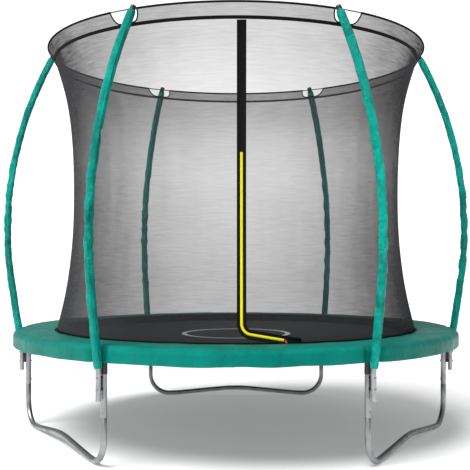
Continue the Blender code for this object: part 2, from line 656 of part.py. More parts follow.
def ribbon(route, width, inner_off, outer_off):
    """Flat band that follows the net: inner_off and outer_off are its distances off it."""
    spots = [on_net(x, z) for x, z in route]
    points = [spot[0] for spot in spots]
    rings = []
    for i, (point, normal) in enumerate(spots):
        along = (points[min(i + 1, len(points) - 1)] - points[max(i - 1, 0)]).normalized()
        across = normal.cross(along).normalized() * (width / 2)
        rings.append([point + normal * inner_off - across, point + normal * inner_off + across,
                      point + normal * outer_off + across, point + normal * outer_off - across])
    return skin(rings)


def slider_frame():
    """Where the zip slider rests: point, outward, and the direction along the lower run."""
    x = net_radius(SLIDER_HEIGHT) * math.sin(SLIDER_AZIMUTH)
    point, normal = on_net(x, SLIDER_HEIGHT)
    ahead, _ = on_net(x + 0.01, lower_run_height(x + 0.01))
    along = (ahead - point).normalized()
    return point, normal, along


def box(centre, axes, size):
    """Block with its edges along three unit vectors."""
    bm = bmesh.new()
    bmesh.ops.create_cube(bm, size=1.0)
    bmesh.ops.scale(bm, verts=bm.verts, vec=Vector(size))
    turn = Matrix(axes).transposed().to_4x4()
    bmesh.ops.transform(bm, verts=bm.verts, matrix=Matrix.Translation(centre) @ turn)
    return bm


def make_door():
    """Door strip, zip, slider and its pull tab."""
    strip_in = DOOR_STRIP_CLEAR
    strip_out = strip_in + DOOR_STRIP_THICKNESS
    zip_in = strip_out + 3 * GAP     # both bands are faceted on a curved net
    zip_out = zip_in + ZIP_THICKNESS
    strap_foot = NET_TOP_HEIGHT - STRAP_HEIGHT * 0.4
    tail_x = NET_FOOT_RADIUS * math.sin(DOOR_TAIL_AZIMUTH)
    route = door_route(strap_foot - DOOR_STRIP_DROP, tail_x)
    strip = ribbon(route, DOOR_STRIP_WIDTH, strip_in, strip_out)
    add_node("door_strip", new_mesh(strip, "door_strip"), WEBBING)
    point, normal, along = slider_frame()
    tape = ribbon(door_route(ZIP_TOP_HEIGHT, point.x + 0.004), ZIP_WIDTH, zip_in, zip_out)
    add_node("zip_tape", new_mesh(tape, "zip_tape"), YELLOW)
    across = normal.cross(along).normalized()
    wide, long, thick = SLIDER_SIZE
    lift = zip_out + SLIDER_CLEAR
    centre = point + normal * (lift + thick / 2)
    slider = box(centre, (across, along, normal), (wide, long, thick))
    add_node("zip_slider", new_mesh(slider, "zip_slider"), BLACK)
    hinge = point + normal * (lift + thick + TAB_CLEAR)
    side = around(SLIDER_AZIMUTH)
    droop = outward(SLIDER_AZIMUTH) * math.cos(TAB_DROOP) - Vector((0, 0, math.sin(TAB_DROOP)))
    middle = hinge + droop * (TAB_LENGTH / 2)
    tab = box(middle, (side, droop, side.cross(droop)), (TAB_WIDTH, TAB_LENGTH, TAB_THICKNESS))
    bmesh.ops.translate(tab, verts=tab.verts, vec=-hinge)
    node = add_node("zip_pull", new_mesh(tab, "zip_pull"), RED)
    node.location = hinge


# ---------------------------------------------------------------- mat, springs and pad
def make_mat():
    """Woven sheet and the doubled webbing round it that holds the spring rings."""
    count = SPRING_COUNT
    turns = [(i + 0.5) * math.tau / count for i in range(count)]    # a corner at each spring
    half = MAT_THICKNESS / 2
    rings = [[at(t, MAT_RADIUS, FRAME_HEIGHT + h) for t in turns] for h in (-half, half)]
    add_node("jump_mat", new_mesh(skin(rings), "jump_mat"), SHEET)
    inner = MAT_RADIUS + GAP
    outer = MAT_RADIUS + MAT_EDGE_WIDTH
    low, high = (FRAME_HEIGHT + s * MAT_EDGE_THICKNESS / 2 for s in (-1, 1))
    lathe([(inner, low), (outer, low), (outer, high), (inner, high)], turns, WEBBING, "mat_edge")


def make_springs():
    """Row of springs from the mat's ring row out to the rail, joined by the ring row."""
    inner = MAT_RADIUS + MAT_EDGE_WIDTH + 2 * GAP
    row = inner + VRING_WIRE
    half = SPRING_BAR / 2
    # a rail is a row of chords, so its inside comes nearer than its circle
    half_chord = math.pi / len(LEGS) / RAIL_CHORDS
    reach = FRAME_RADIUS * math.cos(half_chord) - RAIL_OD / 2 - GAP
    pitch = math.tau / SPRING_COUNT
    base = VRING_HALF / row
    wire = VRING_WIRE / 2
    bm = bmesh.new()
    loops = []
    for i in range(SPRING_COUNT):
        for t in (i * pitch + pitch / 2 - base, i * pitch + pitch / 2 + base):
            corners = ((inner, -wire), (row, -wire), (row, wire), (inner, wire))
            loops.append([bm.verts.new(at(t, r, FRAME_HEIGHT + h)) for r, h in corners])
    for i, loop in enumerate(loops):
        following = loops[(i + 1) % len(loops)]
        for j in range(4):
            k = (j + 1) % 4
            if j == 1 and i % 2 == 0:
                continue    # the spring grows out of this side
            bm.faces.new((loop[j], loop[k], following[k], following[j]))
    for i in range(SPRING_COUNT):
        t = i * pitch + pitch / 2
        first, second = loops[2 * i], loops[2 * i + 1]
        ring = [first[1], second[1], second[2], first[2]]
        for r in (row + VRING_LENGTH, reach):
            centre = at(t, r, FRAME_HEIGHT)
            side, up = around(t) * half, Vector((0, 0, half))
            corners = (centre - side - up, centre + side - up,
                       centre + side + up, centre - side + up)
            grown = [bm.verts.new(corner) for corner in corners]
            for j in range(4):
                k = (j + 1) % 4
                bm.faces.new((ring[j], ring[k], grown[k], grown[j]))
            ring = grown
        bm.faces.new(ring)
    add_node("spring_set", new_mesh(bm, "spring_set"), SPRING)


def pad_turns():
    """Azimuths of the pad's sections with how far a pole presses each one in, 0 to 1."""
    pitch = math.tau / len(LEGS)
    near = (PAD_DENT_HALF, 1.9 * PAD_DENT_HALF, 3.5 * PAD_DENT_HALF)
    press = (1.0, 0.55, 0.0)
    result = []
    for degrees in LEGS.values():
        middle = math.radians(degrees)
        result += [(middle - n, p) for n, p in zip(reversed(near), reversed(press))]
        result += [(middle + n, p) for n, p in zip(near, press)]
        rest = pitch - 2 * near[-1]
        result += [(middle + near[-1] + rest * i / 5, 0.0) for i in range(1, 5)]
    return result


def make_pad():
    """Foam ring in a vinyl cover over the springs, with a skirt down outside the rail."""
    dent = PAD_OUTER_RADIUS - (POLE_RADIUS_AT_HEM - SLEEVE_OD / 2) + 2 * GAP
    top = PAD_UNDERSIDE + PAD_FOAM
    edge = PAD_OUTER_RADIUS
    middle = (PAD_INNER_RADIUS + edge) / 2
    profile = [(PAD_INNER_RADIUS, PAD_UNDERSIDE, 0), (PAD_INNER_RADIUS, top - PAD_CROWN, 0),
               (middle, top + PAD_CROWN, 0), (edge - PAD_SHOULDER, top, 1),
               (edge, top - PAD_SHOULDER, 1), (edge, PAD_HEM, 1), (edge - PAD_SKIRT, PAD_HEM, 1),
               (edge - PAD_SKIRT, PAD_UNDERSIDE, 1)]
    rings = [[at(t, r - dent * press * moves, z) for r, z, moves in profile]
             for t, press in pad_turns()]
    add_node("spring_pad", new_mesh(skin(rings, closed=True), "spring_pad"), VINYL)


# ---------------------------------------------------------------- build
for old in list(bpy.data.objects):
    bpy.data.objects.remove(old)

make_rails()
make_leg_posts()
make_leg_bases()
make_poles()
make_caps()
make_sleeves()
make_clamps()
make_ring()
make_net()
make_net_top()
make_door()
make_mat()
make_springs()
make_pad()
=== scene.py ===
# %% [markdown]
# # A garden trampoline with a net enclosure
# The steel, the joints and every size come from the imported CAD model, which is loaded first and
# never changed. Each cell below takes one piece of the real thing and makes its visible surface as
# a formula on a grid, so that a shape is a few lines of array arithmetic and not a sculpture.

# %% Load the frame
import math

import bmesh
import bpy
import numpy as np
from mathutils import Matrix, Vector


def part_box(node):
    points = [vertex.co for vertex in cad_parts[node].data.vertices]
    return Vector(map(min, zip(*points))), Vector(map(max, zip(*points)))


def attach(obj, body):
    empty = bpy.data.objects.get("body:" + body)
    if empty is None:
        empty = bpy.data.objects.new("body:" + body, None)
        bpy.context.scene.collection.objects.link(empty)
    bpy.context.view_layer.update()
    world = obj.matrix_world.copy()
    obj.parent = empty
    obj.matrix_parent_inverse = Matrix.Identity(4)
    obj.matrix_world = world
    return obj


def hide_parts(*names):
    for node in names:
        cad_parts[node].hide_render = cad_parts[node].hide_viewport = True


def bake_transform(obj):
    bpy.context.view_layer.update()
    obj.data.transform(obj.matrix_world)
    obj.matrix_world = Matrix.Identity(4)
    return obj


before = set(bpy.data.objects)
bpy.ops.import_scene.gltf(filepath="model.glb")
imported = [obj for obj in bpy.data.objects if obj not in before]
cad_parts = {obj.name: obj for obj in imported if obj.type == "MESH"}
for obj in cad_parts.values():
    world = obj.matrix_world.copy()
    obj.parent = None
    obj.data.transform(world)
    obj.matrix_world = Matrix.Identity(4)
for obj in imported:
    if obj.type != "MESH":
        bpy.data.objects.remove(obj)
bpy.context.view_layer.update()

# %% [markdown]
# ## Sizes read from the frame
# A piece that is fitted by eye drifts off its neighbours. So the sizes are measured on the CAD
# nodes: the middle of a leg post is the rail's radius, the mat's height is the rail's height, and
# an eight-sided CAD tube is narrower across its flats than the round tube it stands for.

# %% Sizes
FLAT = math.cos(math.pi / 8)


def corners(name):
    """The different corner points of a CAD node, as an array."""
    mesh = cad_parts[name].data
    flat = np.zeros(len(mesh.vertices) * 3, np.float32)
    mesh.vertices.foreach_get("co", flat)
    return np.unique(np.round(flat.reshape(-1, 3).astype(float), 5), axis=0)


def extent(name):
    """Lowest and highest corner of a CAD node as two arrays."""
    low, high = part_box(name)
    return np.array(low), np.array(high)


def across(name, axis):
    """Half the width of a CAD node along an axis."""
    low, high = extent(name)
    return (high[axis] - low[axis]) / 2


PITCH = math.radians(60)
AZIMUTHS = {name: math.radians(degrees) for name, degrees in {
    "front_right": 30, "right": 90, "back_right": 150,
    "back_left": 210, "left": 270, "front_left": 330}.items()}
FRAME_RADIUS = float(sum(extent("leg_post_right"))[0] / 2)
FRAME_HEIGHT = float(sum(extent("jump_mat"))[2] / 2)
RAIL = float((extent("frame_rail_left")[1][2] - FRAME_HEIGHT) / FLAT)
LEG = float(across("leg_post_right", 0) / FLAT)
POLE = float(across("pole_lower_right", 1) / FLAT)
SLEEVE = float(across("pole_sleeve_right", 1) / FLAT)
MAT_RADIUS = float(np.hypot(*corners("jump_mat").T[:2]).max())
WEBBING_RADIUS = float(np.hypot(*corners("mat_edge").T[:2]).max())
RING_HEIGHT = float(sum(extent("top_ring"))[2] / 2)
ROD = 0.003
RING_RADIUS = float(np.hypot(*corners("top_ring").T[:2]).max()) - ROD
SOCKET_FOOT = float(extent("frame_rail_left")[0][2])
POST_FOOT, POST_TOP = (float(corner[2]) for corner in extent("leg_post_left"))
POLE_FOOT = float(extent("pole_lower_left")[0][2])
WALL = 0.0015
print("rail", round(RAIL, 4), "leg", round(LEG, 4), "pole", round(POLE, 4), "mat", MAT_RADIUS)

# %% [markdown]
# ## From arrays to meshes
# Every new piece is a grid of points: a row for each step along it and a column for each step
# round it. One helper joins neighbouring points into four-sided faces, closes the grid where it
# meets itself, and lays a UV map in metres, so that a weave keeps its real size on any piece.

# %% Grids
UP = np.array((0.0, 0.0, 1.0))


def polar(turn, radius, height):
    """Points at a turn about the axis: x is radius times sine, y minus radius times cosine."""
    turn, radius, height = np.broadcast_arrays(turn, radius, height)
    return np.stack([radius * np.sin(turn), -radius * np.cos(turn), height], -1).astype(float)


def unit(vectors):
    """Vectors divided by their own length."""
    return vectors / np.linalg.norm(vectors, axis=-1, keepdims=True)


def grid(points, round_u=False, round_v=False, caps=False, u=None, v=None):
    """One surface of a mesh: its points, faces and UVs. points is rows by columns by 3."""
    rows, columns = points.shape[:2]
    i, j = np.meshgrid(np.arange(rows if round_u else rows - 1),
                       np.arange(columns if round_v else columns - 1), indexing="ij")
    i2, j2 = i + 1, j + 1
    index = lambda a, b: (a % rows) * columns + b % columns
    faces = np.stack([index(i, j), index(i2, j), index(i2, j2), index(i, j2)], -1)
    u = np.arange(rows + 1) * 0.01 if u is None else np.append(u, 2 * u[-1] - u[-2])
    v = np.arange(columns + 1) * 0.01 if v is None else np.append(v, 2 * v[-1] - v[-2])
    maps = np.stack([np.stack([v[b], u[a]], -1)
                     for a, b in ((i, j), (i2, j), (i2, j2), (i, j2))], -2)
    faces, maps = faces.reshape(-1, 4).tolist(), maps.reshape(-1, 2)
    if caps:
        first = list(range(columns))
        faces += [first[::-1], [(rows - 1) * columns + k for k in first]]
        maps = np.vstack([maps, np.zeros((2 * columns, 2))])
    return points.reshape(-1, 3), faces, maps


print("a quarter turn from the front", polar(math.pi / 2, 1.0, 0.0).round(3))

# %% [markdown]
# A piece is one mesh object made from a list of such surfaces. It gets its finish and the body it
# rides on, and the CAD node that it stands for is hidden.

# %% Pieces
def piece(name, grids, finish, stands_for=None, body="frame", sharp=45, outward=True):
    """A mesh object from a list of grids, with its finish, riding on a CAD body."""
    points, faces, maps, start = [], [], [], 0
    for some, some_faces, some_maps in grids:
        points.append(some)
        faces += [[k + start for k in face] for face in some_faces]
        maps.append(some_maps)
        start += len(some)
    mesh = bpy.data.meshes.new(name)
    mesh.from_pydata(np.vstack(points).tolist(), [], faces)
    layer = mesh.uv_layers.new(name="cloth")
    layer.data.foreach_set("uv", np.vstack(maps).astype(np.float32).ravel())
    if outward:
        shape = bmesh.new()
        shape.from_mesh(mesh)
        bmesh.ops.recalc_face_normals(shape, faces=shape.faces)
        shape.to_mesh(mesh)
        shape.free()
    mesh.shade_smooth()
    mesh.set_sharp_from_angle(angle=math.radians(sharp))
    mesh.materials.append(finish)
    made = bpy.data.objects.new(name, mesh)
    bpy.context.scene.collection.objects.link(made)
    if body:
        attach(made, body)
    if stands_for:
        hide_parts(stands_for)
    print(name, start, "points")
    return made


# %% [markdown]
# Tubes, rods and hems are circles carried along a path. Two directions square to the path hold each
# circle upright on it, so a bend never twists the tube.

# %% Tubes and rods
def directions(path, side):
    """Unit vectors along a path, across it towards side, and square to both."""
    along = unit(np.gradient(path, axis=0))
    side = np.broadcast_to(side, path.shape)
    side = unit(side - along * np.sum(along * side, -1, keepdims=True))
    return along, side, np.cross(along, side)


def carry(path, side, radius, count=24):
    """Circles carried along a path: middle plus radius times (cosine side + sine other)."""
    _, side, other = directions(path, side)
    turn = np.arange(count) * math.tau / count
    radius = np.broadcast_to(radius, len(path))[:, None, None]
    circle = np.cos(turn)[None, :, None] * side[:, None] + np.sin(turn)[None, :, None] * other[:, None]
    return path[:, None] + radius * circle


def tube(path, side, radius, wall=WALL, count=24):
    """Open tube: the outer circles there, the inner circles back, closed in both directions."""
    radius = np.broadcast_to(radius, len(path)).astype(float)
    edge = np.full(len(path), 0.0)
    edge[[0, -1]] = wall * 0.25
    there = carry(path, side, radius - edge, count)
    back = carry(path, side, radius - wall + edge, count)[::-1]
    return grid(np.concatenate([there, back]), round_u=True, round_v=True)


def rod(path, side, radius, count=12, closed=False):
    """Solid round bar along a path."""
    if closed:
        step = unit(np.roll(path, -1, 0) - np.roll(path, 1, 0))
        side = unit(side - step * np.sum(step * side, -1, keepdims=True))
        other = np.cross(step, side)
        turn = np.arange(count) * math.tau / count
        circle = np.cos(turn)[None, :, None] * side[:, None] + np.sin(turn)[None, :, None] * other[:, None]
        return grid(path[:, None] + radius * circle, round_u=True, round_v=True)
    return grid(carry(path, side, radius, count), round_v=True, caps=True)


print("a plain bar has", len(rod(np.eye(3)[:2], UP, 0.1)[0]), "points")

# %% [markdown]
# ## Finishes
# Each finish starts from what the real one is made of. Colours are written as sRGB hex, the way a
# colour chart gives them, and one function turns them into the linear numbers that light needs.
# One more function adds a node with its settings and its links.

# %% Finish helpers
def linear(text):
    """Linear colour of an sRGB hex: below 0.04045 divided by 12.92, above it a 2.4 power."""
    parts = [int(text[k:k + 2], 16) / 255 for k in (1, 3, 5)]
    return [p / 12.92 if p <= 0.04045 else ((p + 0.055) / 1.055) ** 2.4 for p in parts] + [1.0]


def fill(made, inputs):
    """Inputs of a node: a socket is linked, a hex colour is made linear, a number is written."""
    for key, value in inputs.items():
        if isinstance(value, bpy.types.NodeSocket):
            made.id_data.links.new(value, made.inputs[key])
        else:
            made.inputs[key].default_value = linear(value) if isinstance(value, str) else value


def add(tree, kind, inputs, out=0, **settings):
    """Adds a node with its own settings and inputs, and gives back one of its outputs."""
    made = tree.nodes.new("ShaderNode" + kind)
    for key, value in settings.items():
        setattr(made, key, value)
    fill(made, inputs)
    return made.outputs[out]


def new_finish(name, colour, roughness, metallic=0.0):
    """A Principled material of one colour, its node tree, its shader and Object coordinates."""
    made = bpy.data.materials.new(name)
    made.use_nodes = True
    tree = made.node_tree
    shader = tree.nodes["Principled BSDF"]
    fill(shader, {"Base Color": colour, "Roughness": roughness, "Metallic": metallic})
    print("finish", name)
    return made, tree, shader, add(tree, "TexCoord", {}, "Object")


def crossed(tree, place, pitch):
    """Plain weave: a sine along the cloth times a sine across it, pitch apart, from -1 to 1."""
    waves = []
    for axis in "XY":
        way = add(tree, "SeparateXYZ", {"Vector": place}, axis)
        angle = add(tree, "Math", {0: way, 1: math.tau / pitch}, operation="MULTIPLY")
        waves.append(add(tree, "Math", {0: angle}, operation="SINE"))
    return add(tree, "Math", {0: waves[0], 1: waves[1]}, operation="MULTIPLY")


print("middle grey is", round(linear("#808080")[0], 4), "of white in linear light")

# %% [markdown]
# ### Galvanised steel tube
# Drawn tube with a thin zinc coat: grey, half shiny, with long faint lines from the drawing die
# and soft cloudy patches where the zinc took up differently. Metallic 1 with roughness near 0.35.

# %% Steel
def zinc_tube(name, light, dark, roughness):
    """Zinc on drawn tube: clouds 60 mm wide, drawing lines stretched along the upright."""
    made, tree, shader, place = new_finish(name, light, roughness, 1.0)
    clouds = add(tree, "TexNoise", {"Vector": place, "Scale": 1 / 0.06, "Detail": 4.0, "Roughness": 0.55})
    drawn = add(tree, "Mapping", {"Vector": place, "Scale": (1.0, 1.0, 0.08)})
    lines = add(tree, "TexNoise", {"Vector": drawn, "Scale": 1 / 0.004, "Detail": 2.0, "Roughness": 0.55})
    share = add(tree, "MapRange", {"Value": clouds, "From Min": 0.35, "From Max": 0.7})
    fill(shader, {
        "Base Color": add(tree, "Mix", {"Factor": share, "A": light, "B": dark}, "Result", data_type="RGBA"),
        "Roughness": add(tree, "MapRange", {"Value": clouds, "From Min": 0.3, "From Max": 0.7,
                                            "To Min": roughness - 0.06, "To Max": roughness + 0.10}),
        "Normal": add(tree, "Bump", {"Height": lines, "Distance": 0.0003, "Strength": 0.25})})
    return made


LEG_ZINC = zinc_tube("galvanised_tube", "#a3a4a5", "#8c8d8e", 0.38)
POLE_ZINC = zinc_tube("galvanised_pole", "#a9aaab", "#939495", 0.36)
SPRING_ZINC = zinc_tube("bright_zinc_wire", "#b2b4b6", "#9fa1a3", 0.26)

# %% [markdown]
# ### Black plastic, the black socket and glass-fibre rod
# Moulded polypropylene has a fine matt grain. The rod is pulled glass fibre in resin, smoother
# and faintly streaked along its length. Both are near black, never pure black.

# %% Plastics
def moulded(name, colour, roughness, grain):
    """Moulded plastic: a spark-eroded grain of the given width, and slightly uneven gloss."""
    made, tree, shader, place = new_finish(name, colour, roughness)
    speck = add(tree, "TexNoise", {"Vector": place, "Scale": 1 / grain, "Detail": 2.0, "Roughness": 0.55})
    fill(shader, {
        "Roughness": add(tree, "MapRange", {"Value": speck, "From Min": 0.3, "From Max": 0.7,
                                            "To Min": roughness - 0.05, "To Max": roughness + 0.05}),
        "Normal": add(tree, "Bump", {"Height": speck, "Distance": grain / 8, "Strength": 0.5})})
    return made


BLACK_PLASTIC = moulded("moulded_polypropylene", "#0e0e0f", 0.48, 0.0012)
# Near black for the leg sockets, with the grain of moulded plastic.
BLACK_SOCKET = moulded("black_socket_colour", "#121213", 0.38, 0.0020)
RED_PLASTIC = moulded("red_moulded_tab", "#b81528", 0.35, 0.0012)
YELLOW_TEETH = moulded("yellow_zip_teeth", "#efe216", 0.45, 0.0015)
FIBRE_ROD = moulded("glass_fibre_rod", "#141416", 0.30, 0.0015)

# %% [markdown]
# ### Vinyl-coated cloth
# PVC on a polyester scrim: a strong teal, a soft gloss, and many small creases that catch the
# light. The scrim's threads are about 1 mm apart; they are drawn at 3 mm, because closer ones
# would not show. The creases are two sizes of noise, stretched out of round so they read as folds.
# Half of the colour's shift from light to dark follows the fold noise, which is painted shade on
# the folds; the other half is a slow random tone.

# %% Vinyl
def coated_cloth(name, light, dark, roughness, crease, depth, gloss):
    """Teal vinyl: slow random tone, painted shade on the folds, creases of a width and depth, gloss, and the
    scrim.
    """
    made, tree, shader, place = new_finish(name, light, roughness)
    shade = add(tree, "TexNoise", {"Vector": place, "Scale": 1 / 0.35, "Detail": 3.0, "Roughness": 0.55})
    pulled = add(tree, "Mapping", {"Vector": place, "Scale": (1.0, 1.0, 0.55)})
    folds = add(tree, "TexNoise", {"Vector": pulled, "Scale": 1 / crease, "Detail": 6.0, "Roughness": 0.6})
    # Painted shade: the fold noise sets half of the colour's dark share.
    half = add(tree, "Math", {0: folds, 1: 0.5}, operation="MULTIPLY")
    tone_and_fold_shade = add(tree, "Math", {0: shade, 1: 0.5, 2: half}, operation="MULTIPLY_ADD")
    share = add(tree, "MapRange", {"Value": tone_and_fold_shade, "From Min": 0.40, "From Max": 0.62})
    threads = crossed(tree, add(tree, "UVMap", {}, uv_map="cloth"), 0.003)
    height = add(tree, "Math", {0: threads, 1: 0.02, 2: folds}, operation="MULTIPLY_ADD")
    fill(shader, {
        "Base Color": add(tree, "Mix", {"Factor": share, "A": light, "B": dark}, "Result", data_type="RGBA"),
        "Roughness": add(tree, "MapRange", {"Value": folds, "From Min": 0.3, "From Max": 0.7,
                                            "To Min": roughness - 0.07, "To Max": roughness + 0.10}),
        "Normal": add(tree, "Bump", {"Height": height, "Distance": depth, "Strength": 0.8}),
        "Specular IOR Level": gloss, "Specular Tint": "#4fd8c4"})
    return made


PAD_VINYL = coated_cloth("teal_pad_vinyl", "#00776b", "#00655a", 0.34, 0.10, 0.020, 0.35)
SLEEVE_VINYL = coated_cloth("teal_sleeve_vinyl", "#00a091", "#00645a", 0.22, 0.035, 0.035, 0.8)

# %% [markdown]
# ### Netting
# A knitted polyethylene net is mostly holes: seen square on it hides about a quarter of what is
# behind it, and seen along its surface the threads close up and it turns nearly black. Real
# threads are too fine to be seen one by one from here, so the holes are an average: Alpha rises
# from square on to edge on with Layer Weight's Facing, as sheen does. Alpha is also raised towards
# both hems, so the net is darker there, and faint rows and clouds keep it from looking like tinted
# glass.

# %% Net
def knitted_net(name, colour, open_share, close_share, more_alpha_to_hems):
    """Net: Alpha is open_share square on and close_share more edge on, in rows 8 mm high."""
    made, tree, shader, place = new_finish(name, colour, 0.85)
    height = add(tree, "SeparateXYZ", {"Vector": place}, "Z")
    flat = add(tree, "Mapping", {"Vector": place, "Scale": (1.6, 1.6, 20.0)})
    rows = add(tree, "TexNoise", {"Vector": flat, "Scale": 1 / 0.16, "Detail": 4.0, "Roughness": 0.55})
    clouds = add(tree, "TexNoise", {"Vector": place, "Scale": 1 / 0.25, "Detail": 3.0, "Roughness": 0.55})
    facing = add(tree, "LayerWeight", {"Blend": 0.5}, "Facing")
    alpha = add(tree, "Math", {0: facing, 1: close_share, 2: open_share}, operation="MULTIPLY_ADD")
    # Alpha rises towards the foot and, by one and a half times as much, towards the top, so the net is
    # darker towards both hems.
    for low, high, more in ((1.70, 0.80, more_alpha_to_hems), (1.52, 1.98, 1.5 * more_alpha_to_hems)):
        hem = add(tree, "MapRange", {"Value": height, "From Min": low, "From Max": high, "To Max": more})
        alpha = add(tree, "Math", {0: alpha, 1: hem}, operation="ADD")
    pattern = 0.90
    for drawing, strength in ((rows, 0.15), (clouds, 0.10)):
        drawing = add(tree, "MapRange", {"Value": drawing, "From Min": 0.3, "From Max": 0.7})
        pattern = add(tree, "Math", {0: drawing, 1: strength, 2: pattern}, operation="MULTIPLY_ADD")
    fill(shader, {"Alpha": add(tree, "Math", {0: alpha, 1: pattern}, operation="MULTIPLY"),
                  "Specular IOR Level": 0.1})
    return made


NET = knitted_net("knitted_net", "#343436", 0.235, 0.66, 0.15)
BAND_NET = knitted_net("knitted_band", "#2e2e30", 0.56, 0.44, 0.0)

# %% [markdown]
# ### Webbing, mat cloth and zip tape
# All three are woven. The mat is flat polypropylene tape, about 2 mm wide and drawn at 6 mm, with a
# dull sheen. A thin white ring is screen-printed on it to show the middle: the ring's mask is the
# distance from the axis, so it stays a true circle however the cloth is cut.

# %% Woven cloths
TARGET_RADIUS = 0.30
TARGET_LINE = 0.026
TAPE_PITCH = 0.006


def woven(name, light, dark, pitch, depth, roughness=0.75):
    """Woven cloth on its UV map: threads alternate between two shades and stand out by depth."""
    made, tree, shader, _ = new_finish(name, light, roughness)
    threads = crossed(tree, add(tree, "UVMap", {}, uv_map="cloth"), pitch)
    share = add(tree, "MapRange", {"Value": threads, "From Min": -1.0, "From Max": 1.0})
    fill(shader, {
        "Base Color": add(tree, "Mix", {"Factor": share, "A": dark, "B": light}, "Result", data_type="RGBA"),
        "Normal": add(tree, "Bump", {"Height": threads, "Distance": depth, "Strength": 0.7}),
        "Specular IOR Level": 0.15})
    return made


def mat_cloth(name):
    """Mat: crossed tapes by Object X and Y, a soft layer of dust, and the printed ring."""
    made, tree, shader, place = new_finish(name, "#19191b", 0.85)
    tapes = crossed(tree, place, TAPE_PITCH)
    dust = add(tree, "TexNoise", {"Vector": place, "Scale": 1 / 0.30, "Detail": 5.0, "Roughness": 0.55})
    level = add(tree, "Mapping", {"Vector": place, "Scale": (1.0, 1.0, 0.0)})
    reach = add(tree, "VectorMath", {0: level}, "Value", operation="LENGTH")
    off = add(tree, "Math", {0: reach, 1: TARGET_RADIUS}, operation="SUBTRACT")
    off = add(tree, "Math", {0: off}, operation="ABSOLUTE")
    ink = add(tree, "MapRange", {"Value": off, "From Min": TARGET_LINE / 2,
                                 "From Max": TARGET_LINE / 2 + 0.001, "To Min": 1.0, "To Max": 0.0})
    wear = add(tree, "MapRange", {"Value": dust, "From Min": 0.25, "From Max": 0.75, "To Min": 1.0,
                                  "To Max": 0.82})
    shares = [add(tree, "MapRange", {"Value": tapes, "From Min": -1.0, "From Max": 1.0, "To Min": 0.25,
                                     "To Max": 0.75}),
              add(tree, "MapRange", {"Value": dust, "From Min": 0.45, "From Max": 0.85, "To Max": 0.30}),
              add(tree, "Math", {0: ink, 1: wear}, operation="MULTIPLY")]
    colour = "#1b1b1d"
    for share, over in zip(shares, ("#2a2a2c", "#343437", "#b9b9b7")):
        colour = add(tree, "Mix", {"Factor": share, "A": colour, "B": over}, "Result", data_type="RGBA")
    fill(shader, {"Base Color": colour, "Specular IOR Level": 0.2,
                  "Normal": add(tree, "Bump", {"Height": tapes, "Distance": 0.0006, "Strength": 0.5})})
    return made


MAT_CLOTH = mat_cloth("woven_polypropylene_mat")
WEBBING = woven("black_webbing", "#0b0b0c", "#050506", 0.004, 0.0008)
DOOR_CLOTH = woven("black_door_cloth", "#070708", "#030304", 0.003, 0.0006)
YELLOW_TAPE = woven("yellow_zip_tape", "#e6da12", "#cfc206", 0.003, 0.0005, 0.6)

# %% [markdown]
# ## Rails, sockets and welds
# Six bent tubes plug into each other to make the round rail. Each has a swaged end, squeezed so it
# fits in the next tube, and a short socket welded under it that the leg goes into. The weld is a
# bead where the two tubes cross: a circle round the socket whose height follows the rail's round
# underside.

# %% Rails
SWAGE = 0.0023
RAIL_JOINT = math.radians(6)
LEG_PLAY = 0.0004
BEAD, BEAD_STAND = 0.0022, 0.0008


def rail(name, azimuth):
    """Tube along an arc of the rail circle, narrower by the swage over its last 60 mm."""
    start = azimuth - PITCH + RAIL_JOINT
    turn = np.concatenate([np.linspace(start + 0.0003, start + PITCH - 0.0026, 72),
                           start + PITCH + np.linspace(0.0, 0.05, 6)])
    radius = np.where(turn < start + PITCH - 0.001, RAIL, RAIL - SWAGE)
    path = polar(turn, FRAME_RADIUS, FRAME_HEIGHT)
    piece(f"rail_{name}", [tube(path, UP, radius)], LEG_ZINC, f"frame_rail_{name}")


def socket(name, azimuth):
    """Socket tube and its weld bead in near black, z = rail middle - root(rail^2 - offset^2)."""
    foot = polar(azimuth, FRAME_RADIUS, 0.0)
    outward = polar(azimuth, 1.0, 0.0)
    sideways = np.cross(UP, outward)
    radius = LEG + LEG_PLAY + WALL
    heights = np.array([SOCKET_FOOT, SOCKET_FOOT + 0.001, FRAME_HEIGHT - RAIL + 0.002])
    turn = np.linspace(0, math.tau, 48, endpoint=False)
    off = (radius + BEAD_STAND) * np.cos(turn)
    bead = foot + off[:, None] * outward + (radius + BEAD_STAND) * np.sin(turn)[:, None] * sideways
    bead[:, 2] = FRAME_HEIGHT - np.sqrt(np.maximum((RAIL + BEAD_STAND) ** 2 - off ** 2, 0.0))
    # The socket and its weld bead are coloured near black, from the rail down to the socket's foot.
    piece(f"leg_socket_{name}", [tube(foot + heights[:, None] * UP, outward, radius),
                                 rod(bead, np.tile(UP, (48, 1)), BEAD, 8, True)],
          BLACK_SOCKET)


for side_name, azimuth in AZIMUTHS.items():
    rail(side_name, azimuth)
    socket(side_name, azimuth)

# %% [markdown]
# ## Legs
# A leg post is a straight tube with two self-tapping screws near its foot, which hold it on the
# base below. A base is one tube bent twice. Its line is drawn in its own upright plane: straight
# down, a quarter circle, a flat foot, and a gentle rise to the middle, mirrored for the other half.

# %% Leg posts and bases
LEG_BEND = 0.130
FOOT_FLAT = 0.040
BASE_RISE = 0.036
SCREW_HEIGHT = POST_FOOT + 0.026


def turned(start, along, profile, count=32):
    """Solid of revolution: profile is (distance along, radius) pairs."""
    along = unit(np.array(along, float))
    side = unit(np.cross(along, (0.31, 0.2, 0.93)))
    profile = np.array(profile, float)
    path = np.array(start) + profile[:, :1] * along
    turn = np.arange(count) * math.tau / count
    other = np.cross(along, side)
    circle = np.cos(turn)[:, None] * side + np.sin(turn)[:, None] * other
    return grid(path[:, None] + profile[:, 1][:, None, None] * circle, round_v=True, caps=True)


